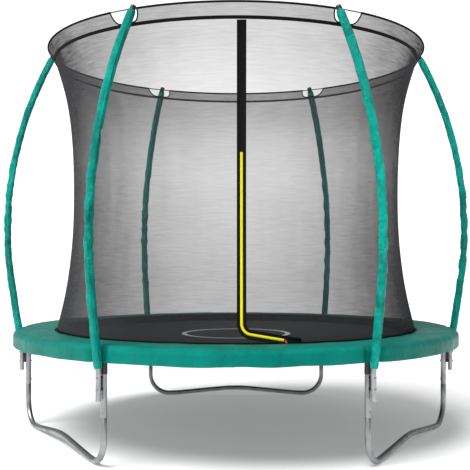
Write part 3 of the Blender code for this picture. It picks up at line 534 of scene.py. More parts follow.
def screw(at, along, radius=0.0048, height=0.0026):
    """Pan-head screw: a flat skirt, a domed head and a dimple for the driver."""
    profile = [(-0.001, radius), (0.0006, radius), (height * 0.7, radius * 0.9),
               (height, radius * 0.55), (height, radius * 0.35), (height * 0.5, radius * 0.22)]
    return turned(at, along, profile, 18)


def leg_post(name, azimuth):
    """Straight tube with a screw on its outer and its inner side."""
    outward = polar(azimuth, 1.0, 0.0)
    heights = np.array([POST_FOOT, POST_FOOT + 0.0012, POST_TOP - 0.0012, POST_TOP])
    path = polar(azimuth, FRAME_RADIUS, heights)
    at = polar(azimuth, FRAME_RADIUS, SCREW_HEIGHT)
    screws = [screw(at + outward * LEG * sign, outward * sign) for sign in (1, -1)]
    piece(f"post_{name}", [tube(path, outward, LEG), *screws], LEG_ZINC,
          f"leg_post_{name}")


def base_line():
    """(distance along the chord, height): a quarter circle, a flat, then a smooth rise."""
    turn = np.linspace(math.pi, 1.5 * math.pi, 20)
    bend = np.stack([LEG_BEND * (1 + np.cos(turn)), LEG + LEG_BEND * (1 + np.sin(turn))], -1)
    middle = FRAME_RADIUS * math.sin(PITCH / 2)
    along = np.linspace(LEG_BEND + FOOT_FLAT, middle, 30)
    share = (along - along[0]) / (middle - along[0])
    rise = BASE_RISE * np.minimum(share / 0.88, 1.0)
    rise = np.convolve(np.pad(rise, 3, mode="edge"), np.ones(7) / 7, mode="valid")
    top = np.array([[0.0, POST_FOOT + 0.055], [0.0, POST_FOOT], [0.0, POST_FOOT - 0.003]])
    return np.concatenate([top, bend, np.stack([along, LEG + rise], -1)])


def leg_base(name, azimuth):
    """Bent tube from one leg to the next: half a line, and the same line mirrored."""
    half = base_line()
    middle = half[-1, 0]
    line = np.concatenate([half, (half * (-1, 1) + (2 * middle, 0))[-2::-1]])
    start = polar(azimuth, FRAME_RADIUS, 0.0)
    chord = unit(polar(azimuth + PITCH, FRAME_RADIUS, 0.0) - start)
    path = start + line[:, :1] * chord + line[:, 1:] * UP
    radius = np.full(len(path), LEG)
    radius[[0, 1, -2, -1]] = LEG - SWAGE
    piece(f"base_{name}", [tube(path, np.cross(chord, UP), radius)], LEG_ZINC,
          f"leg_base_{name}")


for side_name, azimuth in AZIMUTHS.items():
    leg_post(side_name, azimuth)
for side_name, first_post in {"right": "front_right", "back": "back_right", "left": "left"}.items():
    leg_base(side_name, AZIMUTHS[first_post])

# %% [markdown]
# ## Pole lines
# The padded poles bow outward and come back in at the top. Their line is read from the CAD
# sleeve: its corners lie in rings, a ring's mean is a point on the middle line, and a cubic spline
# through those points is the smooth curve of the bent tube.

# %% Read the pole lines
def spline(known, values, wanted):
    """Natural cubic spline: slopes change smoothly, and the curvature is zero at both ends."""
    known, values = np.asarray(known, float), np.asarray(values, float)
    values = values.reshape(len(known), -1)
    h = np.diff(known)
    n = len(known)
    system = np.eye(n)
    right = np.zeros((n, values.shape[1]))
    k = np.arange(1, n - 1)
    system[k, k - 1], system[k, k], system[k, k + 1] = h[:-1], 2 * (h[:-1] + h[1:]), h[1:]
    slope = np.diff(values, axis=0) / h[:, None]
    right[1:-1] = 6 * np.diff(slope, axis=0)
    bend = np.linalg.solve(system, right)
    at = np.clip(np.searchsorted(known, wanted) - 1, 0, n - 2)
    low, high = (known[at + 1] - wanted)[:, None], (wanted - known[at])[:, None]
    gap = h[at][:, None]
    curve = bend[at] * low ** 3 / (6 * gap) + bend[at + 1] * high ** 3 / (6 * gap)
    curve += (values[at] / gap - bend[at] * gap / 6) * low
    return (curve + (values[at + 1] / gap - bend[at + 1] * gap / 6) * high).squeeze()


def ring_means(name, gap=0.05):
    """Mean of each ring of corners, foot to top: a new ring starts where the next is gap higher."""
    points = corners(name)
    points = points[np.argsort(points[:, 2])]
    starts = np.flatnonzero(np.diff(points[:, 2]) > gap) + 1
    return np.array([ring.mean(0) for ring in np.split(points, starts)])


def pole_line(name, heights):
    """Points of a pole's middle line at some heights."""
    means = ring_means(f"pole_sleeve_{name}")
    return np.column_stack([spline(means[:, 2], means[:, :2], heights), heights])


SLEEVE_FOOT = float(ring_means("pole_sleeve_left")[0][2])
SLEEVE_TOP = float(ring_means("pole_sleeve_left")[-1][2])
POLE_FOOT_RADIUS = float(np.hypot(*corners("pole_lower_left")[
    corners("pole_lower_left")[:, 2] < POLE_FOOT + 0.002].mean(0)[:2]))
KNEE = POLE_FOOT + 0.137
print("sleeve from", round(SLEEVE_FOOT, 3), "to", round(SLEEVE_TOP, 3))

# %% [markdown]
# ## Lower poles and their clamps
# Below the sleeve a bare stub of each pole stands beside its leg. Two bolts go through both, with
# a black moulded spacer disc between them at each bolt. A black strip joins the discs and fills the
# gap between stub and leg: painted shade in the gap. The stub's lower end is open, so the tube has a wall.

# %% Lower poles and clamps
CLAMP_LOW = float(extent("pole_clamp_left")[0][2]) + 0.009
CLAMP_HIGH = float(extent("pole_clamp_left")[1][2]) - 0.009
LOWER_TOP = 1.119
BOLT, NUT, WASHER, DISC = 0.003, 0.0052, 0.0064, 0.0092


def lower_pole(name, azimuth):
    """Tube: straight up to the knee, then the sleeve's own line."""
    upper = pole_line(name, np.linspace(SLEEVE_FOOT, LOWER_TOP, 30))
    foot = polar(azimuth, POLE_FOOT_RADIUS, np.array([POLE_FOOT, POLE_FOOT + 0.0012, KNEE - 0.006]))
    sideways = np.cross(UP, polar(azimuth, 1.0, 0.0))
    piece(f"pole_foot_{name}", [tube(np.concatenate([foot, upper]), sideways, POLE)], POLE_ZINC,
          f"pole_lower_{name}")


def hexagon(start, along, radius, height):
    """Bolt head or nut: six sides with a small chamfer."""
    profile = [(0.0, radius), (height * 0.8, radius), (height, radius * 0.82)]
    return turned(start, along, profile, 6)


def clamp(name, azimuth):
    """Spacer disc at each bolt, a black strip between them as painted shade in the gap, and two bolts with a
    head, a washer and a nut.
    """
    outward = polar(azimuth, 1.0, 0.0)
    near, far = FRAME_RADIUS + LEG, POLE_FOOT_RADIUS - POLE
    back, front = FRAME_RADIUS - LEG, POLE_FOOT_RADIUS + POLE
    depth = far - near
    disc = [(0.0, DISC - 0.0007), (0.001, DISC), (depth - 0.0014, DISC), (depth - 0.0004, DISC - 0.0007)]
    metal, plastic = [], []
    for height in (CLAMP_LOW, CLAMP_HIGH):
        plastic.append(turned(polar(azimuth, near + 0.0002, height), outward, disc, 28))
        metal += [turned(polar(azimuth, back - 0.004, height), outward,
                         [(0.0, BOLT), (front - back + 0.004, BOLT)], 14),
                  hexagon(polar(azimuth, front + 0.001, height), outward, NUT, 0.0036),
                  turned(polar(azimuth, front - 0.0003, height), outward,
                         [(0.0, WASHER), (0.0013, WASHER)], 24),
                  hexagon(polar(azimuth, back - 0.0003, height), -outward, NUT, 0.0040)]
    # Painted shade: a black strip 8 mm wide fills the gap between stub and leg from bolt to bolt.
    heights = np.linspace(CLAMP_LOW + 0.004, CLAMP_HIGH - 0.004, 8)
    half = np.array([[0.004, near + 0.001], [0.004, far - 0.001], [-0.004, far - 0.001],
                     [-0.004, near + 0.001]])
    web = (half[None, :, :1] * np.cross(UP, outward) + half[None, :, 1:] * outward
           + heights[:, None, None] * UP)
    plastic.append(grid(web, round_v=True, caps=True))
    piece(f"spacer_{name}", plastic, BLACK_PLASTIC, f"pole_clamp_{name}")
    piece(f"clamp_bolts_{name}", metal, SPRING_ZINC)


for side_name, azimuth in AZIMUTHS.items():
    lower_pole(side_name, azimuth)
    clamp(side_name, azimuth)
    upper_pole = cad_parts[f"pole_upper_{side_name}"].data
    upper_pole.materials.clear()
    upper_pole.materials.append(POLE_ZINC)

# %% [markdown]
# ## Padded sleeves
# A sleeve is a foam tube in a sewn vinyl cover that is a little too long for it, so the cover
# gathers into creases. Its radius is a sum: the foam's round, three flattened folds that wander
# along it, the raised seam where the cover is sewn, a few pinched rings, and two sizes of random
# dents that are deepest where the pole bends most. Simulated cloth would take far more time for the
# same look, because the folds are smaller than its own cells would be.

# %% Sleeves
def crumple(u, v, size, seed, waves=14):
    """Random dents: a sum of sines whose directions and phases are drawn once, between -1 and 1."""
    draw = np.random.default_rng(seed)
    total = 0.0
    for _ in range(waves):
        angle, phase = draw.uniform(0, math.tau, 2)
        pitch = size * draw.uniform(0.6, 2.2)
        total = total + np.sin((u * math.cos(angle) + v * math.sin(angle)) * math.tau / pitch + phase)
    return total / math.sqrt(waves)


def run_length(path):
    """Distance from the start to each point of a path."""
    return np.concatenate([[0], np.cumsum(np.linalg.norm(np.diff(path, axis=0), axis=1))])


def pulse(value, middle, width):
    """A smooth bump: one at the middle, fading like a bell over width."""
    return np.exp(-((value - middle) / width) ** 2)


def sleeve(name, azimuth, seed):
    """Tube of radius foam + folds + seam + dents - pinches, closed by a straight bore."""
    heights = np.linspace(SLEEVE_FOOT, SLEEVE_TOP, 420)
    path = pole_line(name, heights)
    outward = polar(azimuth, 1.0, 0.0)
    _, out, other = directions(path, outward)
    length = run_length(path)
    turn = np.arange(64) * math.tau / 64
    s, t = np.meshgrid(length, turn, indexing="ij")
    loose = 0.35 + pulse(s, length[-1] * 0.42, length[-1] * 0.27)
    toward = 1 if math.sin(azimuth) * math.cos(azimuth) > 0 else -1
    if abs(math.sin(azimuth)) > 0.99:
        toward = 1 if math.sin(azimuth) > 0 else -1
    oval = 0.0010 * np.cos(2 * (t - 0.6 * toward) + 1.1 * np.sin(s * 2.3 + seed))
    flat_turn = (t + 0.35 * toward + 0.25 * np.sin(s * 4.1 + seed)) % (math.tau / 3) - math.tau / 6
    fold = oval - 0.0026 * loose * pulse(flat_turn, 0.0, 0.42)
    seam_turn = (-1.15 * toward + 0.12 * np.sin(s * 3.1 + seed)) % math.tau
    off = (t - seam_turn + math.pi) % math.tau - math.pi
    seam = 0.0022 * pulse(off, 0.0, 0.11) - 0.0012 * pulse(off, 0.24, 0.12)
    dents = (0.0017 * crumple(s, 0.022 * t, 0.070, seed)
             + 0.0010 * crumple(s, 0.030 * np.sin(t), 0.030, seed + 7))
    pinch = sum(pulse(s, share * length[-1], 0.014) for share in (0.30 + 0.01 * seed % 0.07, 0.385, 0.63))
    ends = 0.0020 * (pulse(s, 0.0, 0.010) + pulse(s, length[-1], 0.016))
    radius = SLEEVE - 0.0008 + fold + seam + loose * dents - 0.0016 * pinch - ends
    circle = np.cos(t)[..., None] * out[:, None] + np.sin(t)[..., None] * other[:, None]
    skin = path[:, None] + radius[..., None] * circle
    bore = carry(path[::-14], outward, POLE + 0.0022, 64)
    made = piece(f"sleeve_{name}",
                 [grid(np.concatenate([skin, bore]), round_u=True, round_v=True,
                       u=np.append(length, length[::-14]), v=turn * SLEEVE)],
                 SLEEVE_VINYL, f"pole_sleeve_{name}", sharp=75)


for number, (side_name, azimuth) in enumerate(AZIMUTHS.items()):
    sleeve(side_name, azimuth, number + 1)

# %% [markdown]
# ## Caps and the ring rod
# A cap is a plug with a cross hole for the rod. It is turned: a straight skirt over the sleeve's
# end, a shallow groove, and a domed top. The rod itself is a thin ring.

# %% Caps and rod
def cap(name):
    """Turned plug on the end of a pole, along the pole's own direction."""
    line = pole_line(name, np.array([SLEEVE_TOP - 0.02, SLEEVE_TOP]))
    along = unit(line[1] - line[0])
    foot = line[1] - along * 0.001
    length = float((extent(f"pole_cap_{name}")[1][2] - foot[2]) / along[2]) - 0.004
    profile = [(0.0, 0.0133), (0.0008, 0.0141), (0.007, 0.0143), (0.0078, 0.0137), (0.0090, 0.0137),
               (0.0098, 0.0143), (length - 0.008, 0.0143), (length - 0.004, 0.0132),
               (length - 0.0012, 0.0098), (length, 0.0045), (length, 0.0005)]
    piece(f"cap_{name}", [turned(foot, along, profile, 40)], BLACK_PLASTIC,
          f"pole_cap_{name}")


for side_name in AZIMUTHS:
    cap(side_name)
full_turn = np.linspace(0, math.tau, 360, endpoint=False)
piece("ring_rod", [rod(polar(full_turn, RING_RADIUS, RING_HEIGHT), np.tile(UP, (360, 1)), ROD, 12, True)],
      FIBRE_ROD, "top_ring")

# %% [markdown]
# ## The net
# The net hangs as an hourglass from the strap at the top to the mat at the foot. The CAD net has a
# radius at each of its levels, and a spline through them is the taut outline. Real netting is not
# quite taut between its seams: it has shallow upright waves, a few millimetres deep and deepest at
# mid height, which give the streaks that can be seen when light falls along it.

# %% Net wall
net_corners = corners("net_wall")
net_levels = np.unique(np.round(net_corners[:, 2], 3))
net_radii = np.array([np.hypot(*net_corners[abs(net_corners[:, 2] - z) < 0.002].T[:2]).max()
                      for z in net_levels])
NET_FOOT, NET_TOP = float(net_levels[0]), float(net_levels[-1])


def net_radius(height):
    """Radius of the net's outline: straight below the second level, a spline above it."""
    height = np.asarray(height, float)
    above = np.maximum(height, net_levels[1]).ravel()
    return spline(net_levels[1:], net_radii[1:], above).reshape(height.shape)


def net_wall():
    """Grid of turns and heights: radius = outline + waves that vanish at both hems."""
    heights = np.concatenate([np.linspace(NET_FOOT, net_levels[1], 4)[:-1],
                              np.linspace(net_levels[1], NET_TOP, 106)])
    turn = np.linspace(0, math.tau, 840, endpoint=False)
    z, t = np.meshgrid(heights, turn, indexing="ij")
    share = np.clip((z - net_levels[1]) / (NET_TOP - net_levels[1]), 0, 1)
    belly = np.sin(math.pi * share) ** 0.7
    waves = 0.0008 * np.sin(18 * t + 1.5 * np.sin(3 * t)) + 0.0004 * np.sin(47 * t + 4.0 * z)
    waves = waves + 0.0005 * crumple(t * 0.95, z * 0.25, 0.12, 31)
    points = polar(t, net_radius(z) + belly * waves - 0.0006, z)
    made = piece("net_wall_cloth", [grid(points, round_v=True, u=heights, v=turn)], NET,
                 "net_wall", body=None, outward=False)
    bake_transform(made)


net_wall()

# %% [markdown]
# ## Band, strap and hems
# Above the strap a band of net flares out to the ring rod. It is cut away round each pole, with the
# cut edge bound in black tape, and between the cuts its top is a sleeve that the rod runs through.
# The cut's outline is close to a quarter circle: flat beside the strap, then steep up to the rod.

# %% Band and strap
NOTCH_WIDE = 0.078 / RING_RADIUS
NOTCH_NARROW = 0.034 / RING_RADIUS
NOTCH_LOW = 0.17
STRAP_LOW, STRAP_HIGH = (float(corner[2]) for corner in extent("net_strap"))
BAND_FOOT = np.array([float(net_radii[-1]) + 0.0005, NET_TOP])
BAND_HEAD = np.array([RING_RADIUS - 0.001, RING_HEIGHT - 0.002])
BINDING, BAND_HEM = 0.0036, 0.0052


def band_share(turn):
    """How high the band reaches at a turn: 1 at the rod, less inside a cut-out."""
    off = (turn - PITCH / 2) % PITCH
    inside = np.clip((np.minimum(off, PITCH - off) - NOTCH_NARROW) / (NOTCH_WIDE - NOTCH_NARROW), 0, 1)
    return NOTCH_LOW + (1 - NOTCH_LOW) * (1 - np.sqrt(1 - inside ** 2.2))


def band_point(turn, share):
    """Point of the band: share 0 is at the strap and share 1 at the rod."""
    radius = BAND_FOOT[0] + (BAND_HEAD[0] - BAND_FOOT[0]) * share
    return polar(turn, radius, BAND_FOOT[1] + (BAND_HEAD[1] - BAND_FOOT[1]) * share)


turn = np.linspace(0, math.tau, 4320, endpoint=False)
levels = np.linspace(0, 1, 9)[:, None]
points = band_point(np.broadcast_to(turn, (9, 4320)), levels * band_share(turn))
band = piece("band_cloth", [grid(points, round_v=True, u=np.linspace(0, 0.07, 9), v=turn)], BAND_NET,
             "net_top_band", outward=False)

bindings = []
for middle in AZIMUTHS.values():
    edge_turn = middle + NOTCH_WIDE * np.sin(np.linspace(-math.pi / 2, math.pi / 2, 81))
    edge = band_point(edge_turn, band_share(edge_turn))
    bindings.append(rod(edge, polar(edge_turn, 1.0, 0.0), BINDING, 10))
    run = np.linspace(middle + NOTCH_WIDE - 0.001, middle + PITCH - NOTCH_WIDE + 0.001, 90)
    bindings.append(rod(polar(run, RING_RADIUS, RING_HEIGHT), UP, BAND_HEM, 14))
piece("band_binding", bindings, WEBBING)

strap_turn = np.linspace(0, math.tau, 720, endpoint=False)
sections = np.array([[0.0009, STRAP_LOW + 0.0006], [0.0024, STRAP_LOW], [0.0030, STRAP_LOW + 0.001],
                     [0.0036, STRAP_HIGH - 0.001], [0.0030, STRAP_HIGH], [0.0014, STRAP_HIGH - 0.0006]])
lean = (BAND_HEAD[0] - BAND_FOOT[0]) / (BAND_HEAD[1] - BAND_FOOT[1])
strap_radius = BAND_FOOT[0] + lean * (sections[:, 1] - BAND_FOOT[1]) * 0.7 + sections[:, 0]
strap_points = polar(strap_turn[:, None], strap_radius[None], sections[None, :, 1])
piece("strap_webbing", [grid(strap_points, round_u=True, round_v=True, u=strap_turn,
                             v=np.arange(6) * 0.005)], WEBBING, "net_strap", sharp=60)

# %% [markdown]
# At the foot the net ends in an opaque hem that is laced to the mat's webbing.

# %% Net hem
hem_heights = np.linspace(0.5292, net_levels[1] - 0.002, 10)
hem_turn = np.linspace(0, math.tau, 720, endpoint=False)
z, t = np.meshgrid(hem_heights, hem_turn, indexing="ij")
hem_radius = net_radii[0] + 0.0012 + 0.0006 * np.sin(96 * t)
outer = polar(t, hem_radius, z)
inner = polar(t, hem_radius - 0.0030, z)[::-1]
hem = piece("net_hem", [grid(np.concatenate([outer, inner]), round_u=True, round_v=True,
                             u=np.append(hem_heights, hem_heights[::-1]), v=hem_turn)],
            WEBBING, body=None, sharp=60)
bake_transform(hem)

# %% [markdown]
# ## Door: strip, zip, slider and pull
# The zip runs down beside the middle, turns a corner and slopes away along the pad. Its route is
# drawn as seen from the front, as x and z, and then pushed back on to the net: at a height the net
# has a known radius, so x fixes the turn. The strip and the tape are bands carried along the route.

# %% Door
DOOR_X = 0.026
ZIP_SLOPE = math.radians(10)
ZIP_CORNER = 0.050
STRIP, TAPE, TOOTH_PITCH = 0.044, 0.0124, 0.0032
slider_low, slider_high = extent("zip_slider")
SLIDER = (slider_low + slider_high) / 2
ZIP_TOP = float(extent("zip_tape")[1][2])
TAIL_X = float(extent("door_strip")[1][0]) - 0.004


def on_net(x, z, off):
    """Point off the net's outside at x and z, with the net's outward direction there."""
    radius = net_radius(z)
    slope = (net_radius(z + 0.004) - net_radius(z - 0.004)) / 0.008
    turn = np.arcsin(x / radius)
    normal = unit(polar(turn, 1.0, 0.0) - np.stack([0 * slope, 0 * slope, slope], -1))
    return polar(turn, radius, z) + normal * np.asarray(off)[..., None], normal


def lower_run(x):
    """Height of the sloping run at x: a straight line through the slider."""
    return SLIDER[2] - 0.0018 + (SLIDER[0] - 0.0018 - x) * math.tan(ZIP_SLOPE)


def route(top, end_x, step=0.004):
    """(x, z) along the door: upright, a corner arc that touches both runs, then the slope."""
    sweep = math.pi / 2 - ZIP_SLOPE
    centre = np.array([DOOR_X + ZIP_CORNER,
                       lower_run(DOOR_X) + ZIP_CORNER * math.tan(sweep / 2)])
    turn = np.linspace(math.pi, math.pi + sweep, 24)
    bend = centre + ZIP_CORNER * np.stack([np.cos(turn), np.sin(turn)], -1)
    upright = np.arange(top, bend[0, 1] + step, -step)
    x = np.arange(bend[-1, 0] + step, end_x, step)
    return np.concatenate([np.stack([np.full(len(upright), DOOR_X), upright], -1), bend,
                           np.stack([x, lower_run(x)], -1)])


def framed(line, off=0.0):
    """Points off the net along a route, and the directions along, across and away from it."""
    points, normal = on_net(line[:, 0], line[:, 1], off)
    along = unit(np.gradient(points, axis=0))
    return points, along, unit(np.cross(normal, along)), normal


def band_along(line, section):
    """Band on the net: (across the route, off the net) pairs, closed round its section."""
    points, _, sideways, normal = framed(line)
    across_it, off_it = np.array(section).T[:, None, :, None]
    return grid(points[:, None] + sideways[:, None] * across_it + normal[:, None] * off_it,
                round_v=True, caps=True, u=run_length(points), v=np.arange(len(section)) * 0.006)


def boxes(middle, along, across_it, out, size):
    """Small boxes: eight corners each, half a size either way from a middle on three directions."""
    box = np.array([[a, b, c] for a in (-1, 1) for b in (-1, 1) for c in (-1, 1)]) * size
    at = (middle[:, None] + box[None, :, :1] * along[:, None] + box[None, :, 1:2] * across_it[:, None]
          + box[None, :, 2:] * out[:, None])
    quads = np.array([[0, 1, 3, 2], [4, 6, 7, 5], [0, 4, 5, 1], [2, 3, 7, 6], [0, 2, 6, 4], [1, 5, 7, 3]])
    faces = (quads[None] + 8 * np.arange(len(middle))[:, None, None]).reshape(-1, 4)
    return at.reshape(-1, 3), faces.tolist(), np.zeros((len(faces) * 4, 2))


def door():
    """Strip with doubled edges, tape, and a row of teeth on each side of the zip's middle."""
    e, h = STRIP / 2, TAPE / 2
    strip = [(-e, 0.0011), (-e + 0.001, 0.0025), (-e + 0.004, 0.0025), (-e + 0.005, 0.0018),
             (e - 0.005, 0.0018), (e - 0.004, 0.0025), (e - 0.001, 0.0025), (e, 0.0011),
             (e - 0.001, 0.0007), (-e + 0.001, 0.0007)]
    made = piece("door_strip_cloth", [band_along(route(STRAP_LOW - 0.002, TAIL_X), strip)], DOOR_CLOTH,
                 "door_strip", sharp=70)
    closed = route(ZIP_TOP, SLIDER[0])
    tape = [(-h, 0.0022), (-h + 0.0006, 0.0028), (h - 0.0006, 0.0028), (h, 0.0022),
            (h - 0.0006, 0.0019), (-h + 0.0006, 0.0019)]
    piece("zip_tape_cloth", [band_along(closed, tape)], YELLOW_TAPE, "zip_tape", sharp=70)
    points, *ways = framed(closed, 0.0034)
    length = run_length(points)
    count = int(length[-1] / TOOTH_PITCH)
    where = (np.arange(count) + 0.5) * length[-1] / count
    middle, step, side, out = (np.stack([np.interp(where, length, values[:, k]) for k in range(3)], -1)
                               for values in (points, *ways))
    sign = np.where(np.arange(count) % 2, 1.0, -1.0)[:, None]
    teeth = boxes(middle + side * sign * 0.0010, step, side, out, (0.0011, 0.0024, 0.0009))
    piece("zip_teeth", [teeth], YELLOW_TEETH, sharp=30)


door()

# %% [markdown]
# The slider rides on its own joint along the sloping run, and the red tab swings on the slider.
# Both are small lofted blocks: a superellipse section, which is a box with generous corners.

# %% Slider and tab
def rounded_block(middle, axes, size, power=5.0, rows=9, count=28):
    """Box with soft corners: sections |x|^p + |y|^p = 1, shrinking towards both ends."""
    turn = np.arange(count) * math.tau / count
    shape = np.stack([np.sign(np.cos(turn)) * abs(np.cos(turn)) ** (2 / power),
                      np.sign(np.sin(turn)) * abs(np.sin(turn)) ** (2 / power)], -1)
    along = np.linspace(-1, 1, rows)
    shrink = (1 - abs(along) ** power * 0.35)
    side, forward, out = (np.array(axis) for axis in axes)
    return grid(np.array(middle) + along[:, None, None] * forward * size[1] / 2
                + shrink[:, None, None] * (shape[None, :, :1] * side * size[0] / 2
                                           + shape[None, :, 1:] * out * size[2] / 2),
                round_v=True, caps=True)


point, normal = on_net(np.array([SLIDER[0] - 0.0018]), np.array([SLIDER[2] - 0.0018]), 0.0)
ahead, _ = on_net(np.array([SLIDER[0] + 0.008]), lower_run(np.array([SLIDER[0] + 0.008])), 0.0)
forward = unit(ahead - point)[0]
sideways = np.cross(normal[0], forward)
bridge = SLIDER + normal[0] * 0.0026
axes = (sideways, forward, normal[0])
piece("zip_slider_body", [rounded_block(SLIDER, axes, (0.0125, 0.0150, 0.0048)),
                          rounded_block(bridge, axes, (0.0036, 0.0110, 0.0026))],
      BLACK_PLASTIC, "zip_slider", body="slider")

tab_corners = corners("zip_pull")
tab_turn = math.radians(12.9)
tab_side = np.array([math.cos(tab_turn), math.sin(tab_turn), 0.0])
tab_out = polar(tab_turn, 1.0, 0.0)
reach = tab_corners @ tab_out
hinge = tab_corners[reach < reach.min() + 0.0016].mean(0)
tip = tab_corners[reach > reach.max() - 0.0016].mean(0)
tab_along = unit(tip - hinge)
tab_up = np.cross(tab_side, tab_along)
tab_length = float(np.linalg.norm(tip - hinge))
share = np.linspace(0, 1, 16)
outline = np.array([[-1, 0.0], [-0.9, 0.8], [0.9, 0.8], [1, 0.0], [0.9, -0.8], [-0.9, -0.8]])
round_end = np.sqrt(np.clip(1 - np.maximum(share - 0.86, 0) ** 2 / 0.14 ** 2 * 0.8, 0, 1))
width = (0.0032 + 0.0020 * share ** 0.6) * round_end
rows = (hinge + share[:, None, None] * tab_along * (tab_length + 0.002)
        + outline[None, :, :1] * width[:, None, None] * tab_side
        + outline[None, :, 1:] * 0.0011 * tab_up)
piece("zip_pull_tab", [grid(rows, round_v=True, caps=True)], RED_PLASTIC, "zip_pull",
      body="pull")

# %% [markdown]
# ## Mat, webbing and springs
# When someone lands, the mat sinks most in its middle and hardly at its edge. The cloth is cut
# into narrow wedges like an orange, each a piece of its own about its own middle line, and each
# spring with its ring is a piece of its own as well.

# %% Mat
GORES = 24
MAT_THICK = 0.0025
BLEND_OUTER = FRAME_RADIUS - RAIL
BLEND_INNER = 0.20


def sink(made, azimuth):
    """Frees a piece from its parent and bakes its transform; the points at the rail and near the middle
    along the turn are worked out but not used.
    """
    made.parent = None
    start = polar(azimuth, BLEND_OUTER, FRAME_HEIGHT)
    end = polar(azimuth, BLEND_INNER, FRAME_HEIGHT)
    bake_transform(made)


def mat_gore(number):
    """Wedge of the mat, 2.5 mm thick: rings of points from the middle to the sewn edge."""
    middle = (number + 0.5) * math.tau / GORES
    half = math.pi / GORES
    radius = np.concatenate([[0.0005], np.linspace(0.03, MAT_RADIUS, 34)])
    turn = np.linspace(middle - half, middle + half, 9)
    r, t = np.meshgrid(radius, turn, indexing="ij")
    top, under = (polar(t, r, FRAME_HEIGHT + side * MAT_THICK / 2) for side in (1, -1))
    loop = np.concatenate([top, under[:, ::-1]], axis=1)
    made = piece(f"mat_gore_{number + 1:02d}", [grid(loop, round_v=True, caps=True)], MAT_CLOTH,
                 "jump_mat", body=None)
    sink(made, middle)


def webbing_gore(number):
    """Wedge of the doubled webbing: a flat band with two raised rows of stitching."""
    middle = (number + 0.5) * math.tau / GORES
    half = math.pi / GORES
    turn = np.linspace(middle - half, middle + half, 13)
    inner, outer = MAT_RADIUS - 0.012, WEBBING_RADIUS
    h = 0.0028
    section = np.array([[inner, -h], [outer - 0.001, -h], [outer, 0.0], [outer - 0.001, h],
                        [outer - 0.007, h + 0.0003], [outer - 0.009, h], [inner + 0.010, h],
                        [inner + 0.008, h + 0.0003], [inner, h]])
    rows = polar(turn[:, None], section[None, :, 0], FRAME_HEIGHT + section[None, :, 1])
    made = piece(f"webbing_{number + 1:02d}",
                 [grid(rows, round_v=True, caps=True, u=turn, v=np.arange(9) * 0.006)],
                 WEBBING, "mat_edge", body=None, sharp=60)
    sink(made, middle)


for number in range(GORES):
    webbing_gore(number)
for number in range(GORES):
    mat_gore(number)

# %% [markdown]
# A spring is a close-wound coil with a hook at each end. Its wire is one helix: the radius is
# constant along the coil and swings in to a hook at both ends. The coil has a few dozen turns, and
# there are forty-eight springs, so the wire has only five sides.

# %% Springs
SPRINGS = 48
EYE, COIL_START, COIL_END = 1.0615, 1.070, 1.152
COIL_TURNS = 30
COIL_RADIUS, WIRE = 0.0058, 0.00115


def spring(number):
    """Ring in the webbing and a coil out to the rail, both along one turn about the axis."""
    azimuth = (number + 0.5) * math.tau / SPRINGS
    out = polar(azimuth, 1.0, 0.0)
    side = np.cross(UP, out)
    phase = np.linspace(0, COIL_TURNS * math.tau, COIL_TURNS * 8 + 1)
    coil = (out * np.linspace(COIL_START, COIL_END, len(phase))[:, None]
            + side * COIL_RADIUS * np.cos(phase)[:, None]
            + UP * (FRAME_HEIGHT + COIL_RADIUS * np.sin(phase))[:, None])
    bend = np.linspace(0, math.pi, 9)
    hook = (out * (COIL_END + (FRAME_RADIUS - RAIL - COIL_END - 0.001) * bend / math.pi)[:, None]
            + UP * (FRAME_HEIGHT - 0.0040 * np.sin(bend))[:, None]
            + side * COIL_RADIUS * (1 - bend / math.pi)[:, None])
    eye = (out * (EYE + (COIL_START - EYE) * bend / math.pi)[:, None]
           + UP * (FRAME_HEIGHT + 0.0035 * np.sin(bend))[:, None]
           + side * COIL_RADIUS * (bend / math.pi)[:, None])
    wire = np.concatenate([eye[:-1], coil, hook[1:]])
    base, tip = WEBBING_RADIUS - 0.006, EYE + 0.002
    share = np.linspace(0, 1, 10, endpoint=False)[:, None]
    points = [out * base - side * 0.020, out * base + side * 0.020, out * tip + side * 0.0035,
              out * tip - side * 0.0035]
    link = np.concatenate([a + (b - a) * share for a, b in zip(points, points[1:] + points[:1])])
    made = piece(f"spring_{number + 1:02d}",
                 [rod(wire, UP + 0.3 * side, WIRE, 5),
                  rod(link + UP * FRAME_HEIGHT, np.tile(UP, (len(link), 1)), 0.0016, 8, True)],
                 SPRING_ZINC, "spring_set", body=None, sharp=70)
    sink(made, azimuth)


for number in range(SPRINGS):
    spring(number)
print("gores", GORES, "springs", SPRINGS)

# %% [markdown]
# ## Spring pad
# Foam boards in a vinyl cover lie over the springs, with a skirt that hangs down outside the rail.
# The pad is one closed outline carried round the axis: inner edge, crowned top, a round shoulder,
# the skirt and its hem, and back underneath. It is pressed in behind each pole, sewn together in
# panels with a shallow groove at each seam, and slightly wavy where the cover is looser than the
# foam.

# %% Pad
pad_low, pad_high = extent("spring_pad")
pad_corners = corners("spring_pad")
PAD_INNER = float(np.hypot(*pad_corners.T[:2]).min())
PAD_OUTER = float(np.hypot(*pad_corners.T[:2]).max())
PAD_HEM, PAD_TOP = float(pad_low[2]), float(pad_high[2])
PAD_UNDER = FRAME_HEIGHT + RAIL + 0.0025
hem_radii = np.hypot(*pad_corners[pad_corners[:, 2] < PAD_HEM + 0.002].T[:2])
PAD_DENT = PAD_OUTER - float(hem_radii.min()) - 0.003


